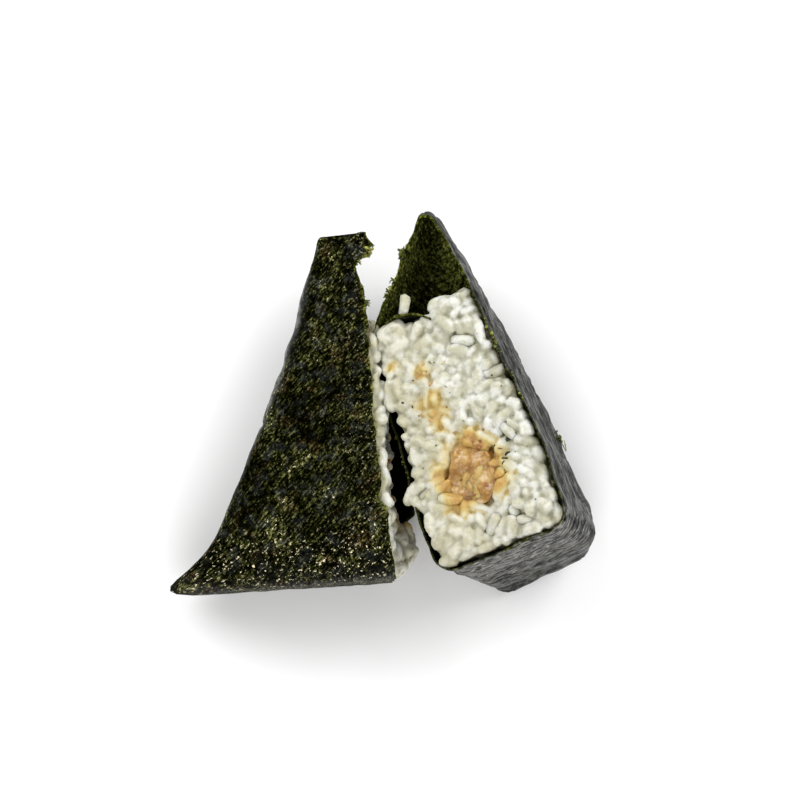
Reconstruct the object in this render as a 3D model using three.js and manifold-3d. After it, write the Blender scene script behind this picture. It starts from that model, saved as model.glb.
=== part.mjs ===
// A triangular onigiri: seasoned rice round a savoury filling, wrapped in nori, cut in two from its tip to its
// base and laid open. The left half lies on its back face. The right half lies on the lower corner of its
// slanting side and leans on the left one, so that its cut face looks up.
//
// Both halves are shaped in the rice ball's own frame, in millimetres: X runs away from the cut (to the left on
// the left half), Y from the base up to the tip, Z from the back face to the front face. Every skin is a stack of
// half loops round the body, one for each height, and each loop runs from the cut along the back face, round the
// slanting side and along the front face to the cut again.

import * as THREE from "three";
import { mergeVertices } from "three/addons/utils/BufferGeometryUtils.js";
import Module from "manifold-3d";

const wasm = await Module();
wasm.setup();

// ---- Driving dimensions, in millimetres and degrees ----

const TIP_HEIGHT = 75; // from the base to the fold of nori at the tip
const THICKNESS = 30.5; // of the rice at the base of the cut
const FRONT_FALL = 10; // how much thinner the rice ball is at its tip
const FRONT_BULGE = 1.4; // how far the front face swells between base and tip
const SIDE_FALL = 4.5; // how much thinner it is at its slanting side
const ROOF_START = 52; // height where the back face turns over towards the tip
const ROOF_EASE = 3; // length over which it turns
const FOLD_THICKNESS = 1.8; // what is left between back and front at the tip
const EDGE_RADIUS = 4.6; // of the long edges at the base
const TIP_EDGE_RADIUS = 7.5; // of the long edges near the tip
const BASE_RADIUS = 3.8; // of the edge round the base
const FOLD_RADIUS = 0.6; // of the fold at the tip

const RICE_TOP = 56; // height of the rice under the hollow tip
const RICE_TOP_LIFT = 5; // how much higher the top of the rice is at the front face than at the back face

const SWELL = 0.7; // height of the low swells of the front face
const SKIRT_LEVEL = 6; // how far up from the back face the ear's skirt hangs

const CLEARANCE = 0.3; // between two touching pieces
const NORI = 0.8; // thickness of the moist sheet

const ENVELOPE_REACH = 1.6; // past the cut plane, for what stands proud of it

const EAR_SPREAD = 4.6; // reach of the pinched ear of nori round the lower corner

const OPEN_ANGLE = 69; // how far the right half is turned out
const RIGHT_PITCH = 9.5; // how far its tip end hangs lower than its base end
const RIGHT_TURN = 16; // how far its tip leans to the left
const LEFT_TURN = 4; // how far the left half's tip leans to the left
const RIGHT_PLACE = [9.2, 1, 32.6]; // where the back corner of the right half's cut base lies

// What differs between the two halves. A tear is the distance of a sheet's cut edge from the plane of the cut,
// given at a few heights; below zero it reaches past that plane.
const HALVES = {
  left: {
    side: -1,
    baseDepth: 43,
    tipDepth: 11,
    sideBulge: -1.8,
    cutProud: 0.7,
    lumpPhase: 0.4,
    earReach: 8,
    earHeight: 7,
    earPinch: 0.72,
    earSkirt: 0,
    frontTear: [[0, 0], [13, 0.8], [15.5, 3.1], [20, 1.9], [34, 2.4], [60, 2.4], [68.5, 3.8], [73, 0.5], [75, 0.2]],
    backTear: [[0, 1], [30, 1.6], [60, 1.2], [75, 0.4]],
  },
  right: {
    side: 1,
    baseDepth: 37,
    tipDepth: 7.2,
    sideBulge: 2,
    cutProud: 0.5,
    lumpPhase: 2.1,
    earReach: 1,
    earHeight: 3,
    earPinch: 0.15,
    earSkirt: 3,
    frontTear: [[0, 0.2], [25, -0.5], [42, 0.1], [60, -0.4], [75, 0.3]],
    backTear: [[0, 0.8], [20, -0.6], [40, 0.9], [52, -0.8], [63, 1.8], [69, 0.6], [75, 1]],
  },
};

const FILLING = { height: 16.8, level: 13.5, depth: 10, halfWidth: 6.6, halfHeight: 7 };
const CLUMP = { height: 6, level: 12, reach: 6, spread: 5 }; // rice that broke out of the left cut face
const FLAP = { depth: 12, proud: 1, rise: 3, start: 1.4, end: 13.5, startHeight: 52.6, endHeight: 52.6 };

// ---- Counts of steps ----

const PANEL_STEPS = 7; // along the back and front faces
const ARC_STEPS = 3; // round each long edge
const SIDE_STEPS = 4; // across the slanting side
const CUT_STEPS = 9; // across the cut face of the rice
const END_STEPS = 3; // round the edges of the base and the tip
const NORI_ROWS = 18; // between the base's edge and the tip's
const RICE_ROWS = 12; // how many of them the rice reaches
const FLAP_STEPS = 9; // along the flap
const FILLING_STEPS = [18, 12]; // round the filling and from end to end

// ---- Small helpers ----

const { clamp, degToRad, lerp, smoothstep } = THREE.MathUtils;

// Value at height y of a tear given as [height, value] pairs.
function tearAt(tear, y) {
  const height = clamp(y, tear[0][0], tear[tear.length - 1][0]);
  const next = Math.max(1, tear.findIndex((point) => point[0] >= height));
  const [lowHeight, lowValue] = tear[next - 1];
  const [highHeight, highValue] = tear[next];
  return lerp(lowValue, highValue, (height - lowHeight) / (highHeight - lowHeight));
}

// A smooth bumpy field between -1 and 1, with waves of about 9 to 20 mm.
function lumps(a, b, phase) {
  return (Math.sin(0.52 * a + 1.3 * phase) * Math.sin(0.47 * b + phase) + Math.sin(0.33 * (a + b) + 2 * phase)) / 2;
}

function meanOf(points) {
  return [0, 1, 2].map((axis) => points.reduce((sum, point) => sum + point[axis], 0) / points.length);
}

// ---- Section of the body at one height ----

// The back face: flat, then turning over towards the tip as the roof of the hollow.
function backAt(y) {
  const along = y - ROOF_START;
  if (along <= 0) return 0;
  const slope = (THICKNESS - FRONT_FALL - FOLD_THICKNESS) / (TIP_HEIGHT - ROOF_START - ROOF_EASE / 2);
  return along < ROOF_EASE ? (slope * along * along) / (2 * ROOF_EASE) : slope * (along - ROOF_EASE / 2);
}

// The front face, which falls away towards the tip and towards the slanting side.
function frontAt(x, y, shape) {
  const share = y / TIP_HEIGHT;
  const room = THICKNESS - FRONT_FALL * share + FRONT_BULGE * Math.sin(Math.PI * share) - backAt(y);
  return backAt(y) + room - SIDE_FALL * (x / shape.baseDepth) * Math.min(1, room / THICKNESS);
}

function depthAt(y, shape) {
  const share = y / TIP_HEIGHT;
  return lerp(shape.baseDepth, shape.tipDepth, share) + shape.sideBulge * Math.sin(Math.PI * share);
}

// One half loop at height y, grown outwards by `grow`, as points. It starts and ends where the back and front
// faces meet the cut, set in by the two insets. `climb` tells how much higher the loop is at each point, going
// from its start to its end.
function halfLoop(shape, y, grow, insets = [0, 0], climb = () => 0) {
  const steps = 2 * PANEL_STEPS + 2 * ARC_STEPS + SIDE_STEPS;
  return Array.from({ length: steps + 1 }, (_, index) => {
    const height = y + climb(index / steps);
    const level = clamp(height, 0, TIP_HEIGHT);
    const [x, z] = loopPoint(shape, level, grow, insets, index);
    return [x, height, z];
  });
}

function loopPoint(shape, y, grow, insets, index) {
  const depth = depthAt(y, shape);
  const back = backAt(y);
  const room = frontAt(depth, y, shape) - back;
  const radius = Math.min(lerp(EDGE_RADIUS, TIP_EDGE_RADIUS, Math.min(1, y / RICE_TOP)), 0.47 * room);
  const corner = depth - radius;
  const lowCentre = back + radius;
  const highCentre = Math.max(lowCentre, frontAt(corner, y, shape) - radius);
  let step = index;
  if (step < PANEL_STEPS) return [lerp(insets[0], corner, step / PANEL_STEPS), back - grow];
  step -= PANEL_STEPS;
  if (step < ARC_STEPS) {
    const angle = (Math.PI / 2) * (step / ARC_STEPS - 1);
    return [corner + (radius + grow) * Math.cos(angle), lowCentre + (radius + grow) * Math.sin(angle)];
  }
  step -= ARC_STEPS;
  if (step < SIDE_STEPS) return [depth + grow, lerp(lowCentre, highCentre, step / SIDE_STEPS)];
  step -= SIDE_STEPS;
  if (step < ARC_STEPS) {
    const angle = (Math.PI / 2) * (step / ARC_STEPS);
    return [corner + (radius + grow) * Math.cos(angle), highCentre + (radius + grow) * Math.sin(angle)];
  }
  const x = lerp(corner, insets[1], (step - ARC_STEPS) / PANEL_STEPS);
  return [x, frontAt(x, y, shape) + grow];
}

// ---- Rows of points: one loop for each height ----

// Heights and growths of a skin that lies `off` outside the rice's own surface, from the base's edge round to
// the top's edge. Both ends are rounded by a quarter turn, and the rows of every skin lie at the same heights.
function rowsOf(off, top, sideRows) {
  const rowStep = (TIP_HEIGHT - FOLD_RADIUS - BASE_RADIUS) / NORI_ROWS;
  const sideEnd = BASE_RADIUS + sideRows * rowStep;
  const topRadius = top - sideEnd;
  const rows = [];
  for (let i = 0; i < END_STEPS; i++) {
    const turn = (Math.PI / 2) * (1 - i / END_STEPS);
    rows.push({
      y: BASE_RADIUS - (BASE_RADIUS + off) * Math.sin(turn),
      grow: (BASE_RADIUS + off) * Math.cos(turn) - BASE_RADIUS,
    });
  }
  for (let i = 0; i <= sideRows; i++) rows.push({ y: BASE_RADIUS + i * rowStep, grow: off });
  for (let i = 1; i <= END_STEPS; i++) {
    const turn = (Math.PI / 2) * (i / END_STEPS);
    rows.push({
      y: sideEnd + (topRadius + off) * Math.sin(turn),
      grow: (topRadius + off) * Math.cos(turn) - topRadius,
    });
  }
  return rows;
}

// How near a point is to the lower corner, where the ear of nori is pinched: 1 at the corner, 0 far away.
function earShare([x, y], shape) {
  return Math.exp(-((x - shape.baseDepth) ** 2 + y ** 2) / (2 * EAR_SPREAD ** 2));
}

// The soft body's own unevenness, the same for rice and nori so that they never cross: the pinch at the ear,
// and low swells that die out at the back face, which lies flat.
function settle([x, y, z], shape) {
  const pinched = lerp(z, shape.earHeight, shape.earPinch * earShare([x, y], shape) ** 2);
  const swell = SWELL * smoothstep(pinched, 0, THICKNESS) * lumps(x * 0.5, y * 0.5, shape.lumpPhase);
  return [x, y, pinched + swell];
}

// The ear: nori alone reaches out at the lower corner, and its skirt hangs below the base.
function settleNori([x, y, z], shape) {
  const share = earShare([x, y], shape);
  const skirt = shape.earSkirt * share * Math.exp(-((z / SKIRT_LEVEL) ** 2));
  const [, , settled] = settle([x, y, z], shape);
  return [x + shape.earReach * share, y - skirt, settled];
}

// Rows of points for one skin of nori. The first rows close the base, and the last one closes the fold.
function noriSkin(shape, off) {
  const rows = rowsOf(off, TIP_HEIGHT, NORI_ROWS).map(({ y, grow }) =>
    halfLoop(shape, y, grow, [tearAt(shape.backTear, y), tearAt(shape.frontTear, y)]),
  );
  const shrunk = (row, share) => {
    const middle = meanOf([row[0], row[row.length - 1]]);
    return row.map((point) => point.map((value, axis) => lerp(middle[axis], value, share)));
  };
  const base = rows[0];
  rows.unshift(...[0, 0.35, 0.7].map((share) => shrunk(base, share)));
  rows.push(shrunk(rows[rows.length - 1], 0));
  return rows.map((row) => row.map((point) => settleNori(point, shape)));
}

// Height of the rice's cut face above the plane of the cut, which is highest in the middle.
function proudAt(y, z, shape) {
  const room = Math.min(y, z - backAt(y), RICE_TOP - y, frontAt(0, y, shape) - z);
  const bump = 0.9 * lumps(y, z, shape.lumpPhase) + 0.4 * lumps(2.1 * z, 1.9 * y, shape.lumpPhase + 1);
  const away = (y - CLUMP.height) ** 2 + (z - CLUMP.level) ** 2;
  const clump = shape.side < 0 ? CLUMP.reach * Math.exp(-away / (2 * CLUMP.spread ** 2)) : 0;
  return smoothstep(room, 0, 4) * (shape.cutProud + bump) + clump;
}

// Closed rings of points round the rice: a half loop, then back across the cut face.
function riceRings(shape) {
  const rings = rowsOf(0, RICE_TOP, RICE_ROWS).map(({ y, grow }) => {
    const climb = (share) => smoothstep(y, RICE_TOP - 20, RICE_TOP) * RICE_TOP_LIFT * (share - 0.5);
    const ring = halfLoop(shape, y, grow, [0, 0], climb);
    const back = ring[0];
    const front = ring[ring.length - 1];
    for (let i = 1; i < CUT_STEPS; i++) {
      const height = lerp(front[1], back[1], i / CUT_STEPS);
      const level = lerp(front[2], back[2], i / CUT_STEPS);
      ring.push([-proudAt(height, level, shape), height, level]);
    }
    return ring;
  });
  const closed = (ring) => ring.map(() => meanOf(ring));
  rings.unshift(closed(rings[0]));
  rings.push(closed(rings[rings.length - 1]));
  return rings.map((ring) => ring.map((point) => settle(point, shape)));
}

// ---- Meshes from rows ----

// Adds the faces between neighbouring rows. `closed` joins the last point of a row to its first.
function addRows(indices, start, rowCount, width, closed) {
  const across = closed ? width : width - 1;
  for (let row = 0; row + 1 < rowCount; row++) {
    for (let i = 0; i < across; i++) {
      const a = start + row * width + i;
      const b = start + row * width + ((i + 1) % width);
      indices.push(a, b, b + width, a, b + width, a + width);
    }
  }
}

// A geometry with shared vertices merged, empty triangles dropped and its faces pointing out.
function geometryOf(points, indices) {
  const loose = new THREE.BufferGeometry();
  loose.setAttribute("position", new THREE.Float32BufferAttribute(points.flat(), 3));
  loose.setIndex(indices);
  const merged = mergeVertices(loose, 1e-4);
  const corners = merged.index.array;
  const kept = [];
  for (let i = 0; i < corners.length; i += 3) {
    const [a, b, c] = [corners[i], corners[i + 1], corners[i + 2]];
    if (a !== b && b !== c && a !== c) kept.push(a, b, c);
  }
  merged.setIndex(volumeOf(merged, kept) < 0 ? kept.reverse() : kept);
  return merged;
}

function volumeOf(geometry, corners) {
  const position = geometry.getAttribute("position");
  const [a, b, c] = [new THREE.Vector3(), new THREE.Vector3(), new THREE.Vector3()];
  let volume = 0;
  for (let i = 0; i < corners.length; i += 3) {
    a.fromBufferAttribute(position, corners[i]);
    b.fromBufferAttribute(position, corners[i + 1]);
    c.fromBufferAttribute(position, corners[i + 2]);
    volume += a.dot(b.cross(c)) / 6;
  }
  return volume;
}

// The sheet of nori: an outer and an inner skin, joined by a rim along both cut edges.
function noriGeometry(shape, place) {
  const outer = noriSkin(shape, CLEARANCE + NORI).map((row) => row.map((point) => place(point, 0)));
  const inner = noriSkin(shape, CLEARANCE).map((row) => row.map((point) => place(point, NORI)));
  const width = outer[0].length;
  const count = outer.length * width;
  const indices = [];
  addRows(indices, 0, outer.length, width, false);
  const inside = [];
  addRows(inside, count, inner.length, width, false);
  indices.push(...inside.reverse());
  for (let a = 0; a + width < count; a += width) {
    const b = a + width;
    indices.push(a, b, b + count, a, b + count, a + count);
    const c = a + width - 1;
    const d = c + width;
    indices.push(c, d + count, d, c, c + count, d + count);
  }
  return geometryOf([...outer.flat(), ...inner.flat()], indices);
}

// The room that a half needs, with its nori and a little past its cut edges: what it presses into.
function envelopeGeometry(shape, place) {
  const rows = rowsOf(NORI + 2 * CLEARANCE, TIP_HEIGHT, NORI_ROWS).map(({ y, grow }) => {
    return halfLoop(shape, y, grow, [-ENVELOPE_REACH, -ENVELOPE_REACH]);
  });
  const closed = (row) => row.map(() => meanOf(row));
  rows.unshift(closed(rows[0]));
  rows.push(closed(rows[rows.length - 1]));
  const indices = [];
  addRows(indices, 0, rows.length, rows[0].length, true);
  return geometryOf(rows.flat().map((point) => place(settleNori(point, shape))), indices);
}

function riceGeometry(shape, place) {
  const rings = riceRings(shape).map((ring) => ring.map((point) => place(point, NORI + CLEARANCE)));
  const indices = [];
  addRows(indices, 0, rings.length, rings[0].length, true);
  return geometryOf(rings.flat(), indices);
}

// The pocket of filling: a lumpy egg centred on the cut, grown by `grow`.
function fillingGeometry(grow, place) {
  const egg = new THREE.SphereGeometry(1, ...FILLING_STEPS);
  const position = egg.getAttribute("position");
  const points = Array.from({ length: position.count }, (_, index) => {
    const { x, y, z } = new THREE.Vector3().fromBufferAttribute(position, index);
    const bump = 1 + 0.09 * Math.sin(5 * y + 3 * z) + 0.06 * Math.sin(7 * x + 2);
    return place([
      x * (FILLING.depth * bump + grow),
      FILLING.height + y * (FILLING.halfHeight * bump + grow),
      FILLING.level + z * (FILLING.halfWidth * bump + grow),
    ]);
  });
  return geometryOf(points, [...egg.index.array]);
}

// The inner end of the sheet on the right half: a strip arched over the rice at the back, grown by `grow`.
function flapGeometry(grow, place) {
  const half = NORI / 2 + grow;
  const rows = Array.from({ length: FLAP_STEPS + 1 }, (_, step) => {
    const share = step / FLAP_STEPS;
    const z = lerp(FLAP.start - grow, FLAP.end + grow, share);
    const y = lerp(FLAP.startHeight, FLAP.endHeight, share ** 2) + FLAP.rise * Math.sin(Math.PI * share);
    const edge = 0.5 * Math.sin(9 * share) - FLAP.proud - grow;
    const end = FLAP.depth + grow;
    return [[edge, y - half, z], [edge, y + half, z], [end, y + half, z], [end, y - half, z]];
  });
  const closed = (row) => row.map(() => meanOf(row));
  rows.unshift(closed(rows[0]));
  rows.push(closed(rows[rows.length - 1]));
  const indices = [];
  addRows(indices, 0, rows.length, rows[0].length, true);
  return geometryOf(rows.flat().map((point) => place(point)), indices);
}

// ---- Boolean cuts ----

function solidOf(geometry) {
  return new wasm.Manifold(new wasm.Mesh({
    numProp: 3,
    vertProperties: new Float32Array(geometry.getAttribute("position").array),
    triVerts: new Uint32Array(geometry.index.array),
  }));
}

function geometryFrom(solid) {
  const { numProp, numVert, vertProperties, triVerts } = solid.getMesh();
  const points = Array.from({ length: numVert }, (_, index) => {
    return [...vertProperties.slice(index * numProp, index * numProp + 3)];
  });
  return geometryOf(points, [...triVerts]);
}

// ---- The two halves in place ----

// Turns a point of the rice ball's frame into a mesh frame: the half's own one, unless another is given. A point
// with a `level` is also kept at least that high above the table, so that a soft corner is pressed flat.
function placer(shape, group, frame = group) {
  const back = frame.matrix.clone().invert();
  return ([x, y, z], level = -Infinity) => {
    const point = new THREE.Vector3(shape.side * x, y, z).applyMatrix4(group.matrix);
    point.z = Math.max(point.z, level);
    return point.applyMatrix4(back).toArray();
  };
}

const LOOKS = {
  nori: { color: 0x1c2114, roughness: 0.5, metalness: 0 },
  rice: { color: 0xe9e7dd, roughness: 0.45, metalness: 0 },
  filling: { color: 0xb9793a, roughness: 0.4, metalness: 0 },
};

function addMesh(group, name, geometry, look) {
  const mesh = new THREE.Mesh(geometry, new THREE.MeshStandardMaterial(LOOKS[look]));
  mesh.name = name;
  group.add(mesh);
}

// Adds a half's pieces. `pressing` lists solids, in the half's mesh frame, that press into its rice.
function addHalf(group, name, pressing) {
  const shape = HALVES[name];
  const place = placer(shape, group);
  addMesh(group, `nori_${name}`, noriGeometry(shape, place), "nori");
  const body = pressing.reduce((left, solid) => left.subtract(solid), solidOf(riceGeometry(shape, place)));
  const filling = solidOf(fillingGeometry(0, place)).intersect(body);
  addMesh(group, `filling_${name}`, geometryFrom(filling), "filling");
  const rice = body.subtract(solidOf(fillingGeometry(CLEARANCE, place)));
  addMesh(group, `rice_${name}`, geometryFrom(rice), "rice");
}

function placedGroup(turn, position) {
  const group = new THREE.Group();
  group.rotation.copy(turn);
  group.position.set(...position);
  group.updateMatrix();
  return group;
}

const leftTurn = new THREE.Euler(0, 0, degToRad(LEFT_TURN));
const rightTurn = new THREE.Euler(-degToRad(RIGHT_PITCH), degToRad(OPEN_ANGLE), degToRad(RIGHT_TURN), "ZXY");
const leftHalf = placedGroup(leftTurn, [0, 0, CLEARANCE + NORI]);
const rightHalf = placedGroup(rightTurn, RIGHT_PLACE);

const rightInLeft = placer(HALVES.right, rightHalf, leftHalf);
addHalf(leftHalf, "left", [solidOf(envelopeGeometry(HALVES.right, rightInLeft))]);

const rightPlace = placer(HALVES.right, rightHalf);
addHalf(rightHalf, "right", [solidOf(flapGeometry(CLEARANCE, rightPlace))]);
addMesh(rightHalf, "nori_flap", flapGeometry(0, rightPlace), "nori");

const onigiri = new THREE.Group();
onigiri.add(leftHalf, rightHalf);

// The origin lies on the table, under the middle of the whole.
const middle = new THREE.Box3().setFromObject(onigiri, true).getCenter(new THREE.Vector3());
for (const half of [leftHalf, rightHalf]) half.position.sub(middle.setZ(0));

export default onigiri;
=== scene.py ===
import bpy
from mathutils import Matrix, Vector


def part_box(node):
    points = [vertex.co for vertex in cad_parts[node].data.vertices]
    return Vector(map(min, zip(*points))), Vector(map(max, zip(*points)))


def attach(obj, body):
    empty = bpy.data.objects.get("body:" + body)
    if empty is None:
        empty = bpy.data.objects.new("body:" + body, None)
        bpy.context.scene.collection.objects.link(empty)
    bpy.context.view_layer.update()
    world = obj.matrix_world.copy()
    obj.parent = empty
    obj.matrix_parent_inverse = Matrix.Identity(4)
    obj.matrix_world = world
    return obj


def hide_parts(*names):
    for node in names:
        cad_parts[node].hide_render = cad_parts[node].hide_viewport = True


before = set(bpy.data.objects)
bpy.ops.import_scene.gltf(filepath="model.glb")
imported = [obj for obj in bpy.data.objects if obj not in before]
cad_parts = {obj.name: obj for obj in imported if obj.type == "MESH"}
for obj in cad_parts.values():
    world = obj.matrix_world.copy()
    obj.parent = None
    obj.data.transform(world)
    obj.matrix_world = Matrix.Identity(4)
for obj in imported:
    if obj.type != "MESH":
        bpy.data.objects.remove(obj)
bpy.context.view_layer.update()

# %% [markdown]
# # A rice ball, cut in two
# The finished thing is a triangle of seasoned rice round a savoury filling, wrapped in a sheet of nori
# and cut from its tip to its base. One half lies flat, the other leans on it with its cut face up. The
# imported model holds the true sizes, so every skin below is worked out again from the same few sizes, only
# far finer. Sizes are in millimetres, and only the last step of each piece turns them into metres.

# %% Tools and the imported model's box
from types import SimpleNamespace

import bmesh
import bpy
import numpy as np
from mathutils import Matrix, Vector
from mathutils.bvhtree import BVHTree

TO_METRES = 0.001

# %% Sizes of the rice ball
TIP_HEIGHT = 75.0
THICKNESS = 30.5
FRONT_FALL = 10.0
FRONT_BULGE = 1.4
SIDE_FALL = 4.5
ROOF_START = 52.0
ROOF_EASE = 3.0
FOLD_THICKNESS = 1.8
EDGE_RADIUS = 4.6
TIP_EDGE_RADIUS = 7.5
EDGE_SHARE = 0.47
BASE_RADIUS = 3.8
FOLD_RADIUS = 0.6
RICE_TOP = 56.0
RICE_TOP_LIFT = 5.0
SWELL = 0.7
CLEARANCE = 0.3
NORI = 0.8
OUTSIDE = CLEARANCE + NORI
NORI_SIDE_END = TIP_HEIGHT - FOLD_RADIUS
RICE_SIDE_END = BASE_RADIUS + (NORI_SIDE_END - BASE_RADIUS) * 12 / 18

# %% [markdown]
# The two halves differ a little: in depth, in how the nori was pinched at the lower corner, and in how
# its edges tore. A tear is a list of heights and of the edge's distance from the plane of the cut. A
# fringe is a place where the sheet frayed: its height, how far the fibres reach out, and over what
# length.

# %% What differs between the halves
LEFT = SimpleNamespace(
    name="left", side=-1, base_depth=43.0, tip_depth=11.0, side_bulge=-1.8, cut_proud=0.7, lump_phase=0.4,
    ear_reach=5.0, ear_point=3.2, ear_height=6.0, ear_pinch=0.9, ear_skirt=0.0, set_back=0.7, seed=11,
    wrinkle_share=0.45, buckle_height=0.15, crease_depth=0.45,
    front_tear=[
        (0, 0), (13, 0.8), (15.5, 3.1), (20, 1.9), (34, 2.4), (60, 2.4), (68.5, 3.8), (71, 2.6), (73.4, 0.0),
        (75, 1.4),
    ],
    # Between heights 14 and 44 the back tear reaches 5 to 6 mm past the cut: torn nori lying on the table
    # under the gap between the halves, and also a dark strip that stands in for that gap's shade.
    back_tear=[(0, 1), (9, 0.5), (14, -5), (44, -6), (52, 1), (62, 4.4), (69, 5.6), (73, 2.4), (75, 1.6)],
    front_fringe=[(71, 1.6, 1.3), (15.5, 0.9, 2.0), (60, 0.7, 1.0)],
    back_fringe=[(69, 1.0, 3.0)],
)
RIGHT = SimpleNamespace(
    name="right", side=1, base_depth=37.0, tip_depth=7.2, side_bulge=2.0, cut_proud=0.5, lump_phase=2.1,
    ear_reach=1.0, ear_point=0.0, ear_height=3.0, ear_pinch=0.15, ear_skirt=3.0, set_back=0.0, seed=23,
    wrinkle_share=1.0, buckle_height=0.3, crease_depth=0.0,
    front_tear=[(0, 0.2), (25, -0.5), (42, 0.1), (60, -0.4), (75, 0.3)],
    back_tear=[(0, 1.4), (20, 0.9), (40, 1.7), (52, 0.2), (63, 1.8), (69, 0.6), (75, 1)],
    front_fringe=[(42, 0.4, 3.0)],
    back_fringe=[(69, 2.0, 1.2), (63, 2.2, 1.6), (52, 1.0, 2.0)],
)

# %% [markdown]
# One section of the body is a half loop: along the flat back, round the slanting side and along the front
# to the cut again. These functions take whole arrays, so that a sheet of forty thousand points is one
# call.

# %% Section of the body at one height
def back_at(height):
    """Level of the back face, which turns over towards the tip."""
    slope = (THICKNESS - FRONT_FALL - FOLD_THICKNESS) / (TIP_HEIGHT - ROOF_START - ROOF_EASE / 2)
    along = height - ROOF_START
    eased = np.clip(along, 0, ROOF_EASE)
    return slope * (eased ** 2 / (2 * ROOF_EASE) + np.maximum(along - ROOF_EASE, 0))


def front_at(depth, height, shape):
    """Level of the front face, which falls away towards the tip and the slanting side."""
    share = height / TIP_HEIGHT
    back = back_at(height)
    room = THICKNESS - FRONT_FALL * share + FRONT_BULGE * np.sin(np.pi * share) - back
    return back + room - SIDE_FALL * depth / shape.base_depth * np.minimum(1, room / THICKNESS)


def depth_at(height, shape):
    """How far the slanting side lies from the cut."""
    share = height / TIP_HEIGHT
    lean = shape.base_depth + (shape.tip_depth - shape.base_depth) * share
    return lean + shape.side_bulge * np.sin(np.pi * share)


def edge_radius(level, room):
    """Radius of the long edges: it grows towards the tip, and two of them never fill the room."""
    wide = EDGE_RADIUS + (TIP_EDGE_RADIUS - EDGE_RADIUS) * np.minimum(1, level / RICE_TOP)
    return np.minimum(wide, EDGE_SHARE * room)


BREAKS = (0.36, 0.43, 0.57, 0.64)  # where the loop turns from back to edge, side, edge and front


def half_loop(shape, height, grow, back_inset, front_inset, along):
    """Points of the half loop; `along` runs from 0 at the back's cut edge to 1 at the front's."""
    level = np.clip(height, 0, TIP_HEIGHT)
    depth = depth_at(level, shape)
    back = back_at(level)
    room = front_at(depth, level, shape) - back
    radius = edge_radius(level, room)
    corner = depth - radius
    low = back + radius
    high = np.maximum(low, front_at(corner, level, shape) - radius)
    a, b, c, d = BREAKS
    back_x = back_inset + (corner - back_inset) * along / a
    low_turn = np.pi / 2 * ((along - a) / (b - a) - 1)
    high_turn = np.pi / 2 * (along - c) / (d - c)
    front_x = corner + (front_inset - corner) * (along - d) / (1 - d)
    pick = [along < a, along < b, along < c, along < d]
    x = np.select(pick, [
        back_x, corner + (radius + grow) * np.cos(low_turn), depth + grow,
        corner + (radius + grow) * np.cos(high_turn),
    ], front_x)
    z = np.select(pick, [
        back - grow + 0 * along, low + (radius + grow) * np.sin(low_turn),
        low + (high - low) * (along - b) / (c - b), high + (radius + grow) * np.sin(high_turn),
    ], front_at(front_x, level, shape) + grow)
    return np.stack([x, height + 0 * along, z], axis=-1)


# %% [markdown]
# Food is never even. A smooth random field, read at any point, gives every swell, lump and tear here, and
# a fixed seed makes it the same on every run.

# %% Random field
FIELD_CELLS = 48


def field(points, wavelength, seed):
    """Smooth random numbers between -1 and 1, with humps about `wavelength` apart."""
    cells = np.random.default_rng(seed).uniform(-1, 1, (FIELD_CELLS,) * 3)
    place = np.asarray(points) / wavelength
    base = np.floor(place).astype(int)
    share = place - base
    share = share * share * (3 - 2 * share)
    total = 0
    for corner in np.ndindex(2, 2, 2):
        weight = np.prod(np.where(corner, share, 1 - share), axis=-1)
        cell = (base + corner) % FIELD_CELLS
        total = total + weight * cells[cell[..., 0], cell[..., 1], cell[..., 2]]
    return total


def smoothstep(value, low, high):
    share = np.clip((value - low) / (high - low), 0, 1)
    return share * share * (3 - 2 * share)


def lumps(a, b, phase):
    """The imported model's own low bumps, from two sine waves."""
    crossed = np.sin(0.52 * a + 1.3 * phase) * np.sin(0.47 * b + phase)
    return (crossed + np.sin(0.33 * (a + b) + 2 * phase)) / 2


# %% [markdown]
# The soft body settles: the lower corner is pinched and the front swells a little. The nori alone reaches
# out at the corner as an ear, where the wrapper left a fold of it.

# %% Settling of the body
EAR_SPREAD = 4.6
SKIRT_REACH = 32.0
SKIRT_LEVEL = 27.0
SKIRT_HEIGHT = 12.0


def ear_share(points, shape):
    """1 at the lower corner, falling off round it."""
    away = (points[..., 0] - shape.base_depth) ** 2 + points[..., 1] ** 2
    return np.exp(-away / (2 * EAR_SPREAD ** 2))


def settle(points, shape):
    """Points of the body after its pinch and its swells."""
    x, y, z = np.moveaxis(points, -1, 0)
    share = shape.ear_pinch * ear_share(points, shape) ** 2
    pinched = z + (shape.ear_height - z) * share
    swell = SWELL * smoothstep(pinched, 0, THICKNESS) * lumps(x * 0.5, y * 0.5, shape.lump_phase)
    return np.stack([x, y, pinched + swell], axis=-1)


def pull_ear(points, shape):
    """The settled nori, with its ear pulled out and its skirt hanging below the base."""
    x, y, z = np.moveaxis(points, -1, 0)
    share = ear_share(points, shape)
    settled = settle(points, shape)
    settled[..., 0] = x + shape.ear_reach * share + shape.ear_point * share ** 4
    near_corner = np.clip(1 - np.abs(x - shape.base_depth) / SKIRT_REACH, 0, 1)
    near_back = np.clip(1 - z / SKIRT_LEVEL, 0, 1)
    hang = near_corner * near_back * smoothstep(y, SKIRT_HEIGHT, 0)
    settled[..., 1] = y - shape.ear_skirt * hang
    return settled


# %% [markdown]
# Each half is turned as it lies on the table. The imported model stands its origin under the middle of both
# halves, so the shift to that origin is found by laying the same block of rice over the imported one.

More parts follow.
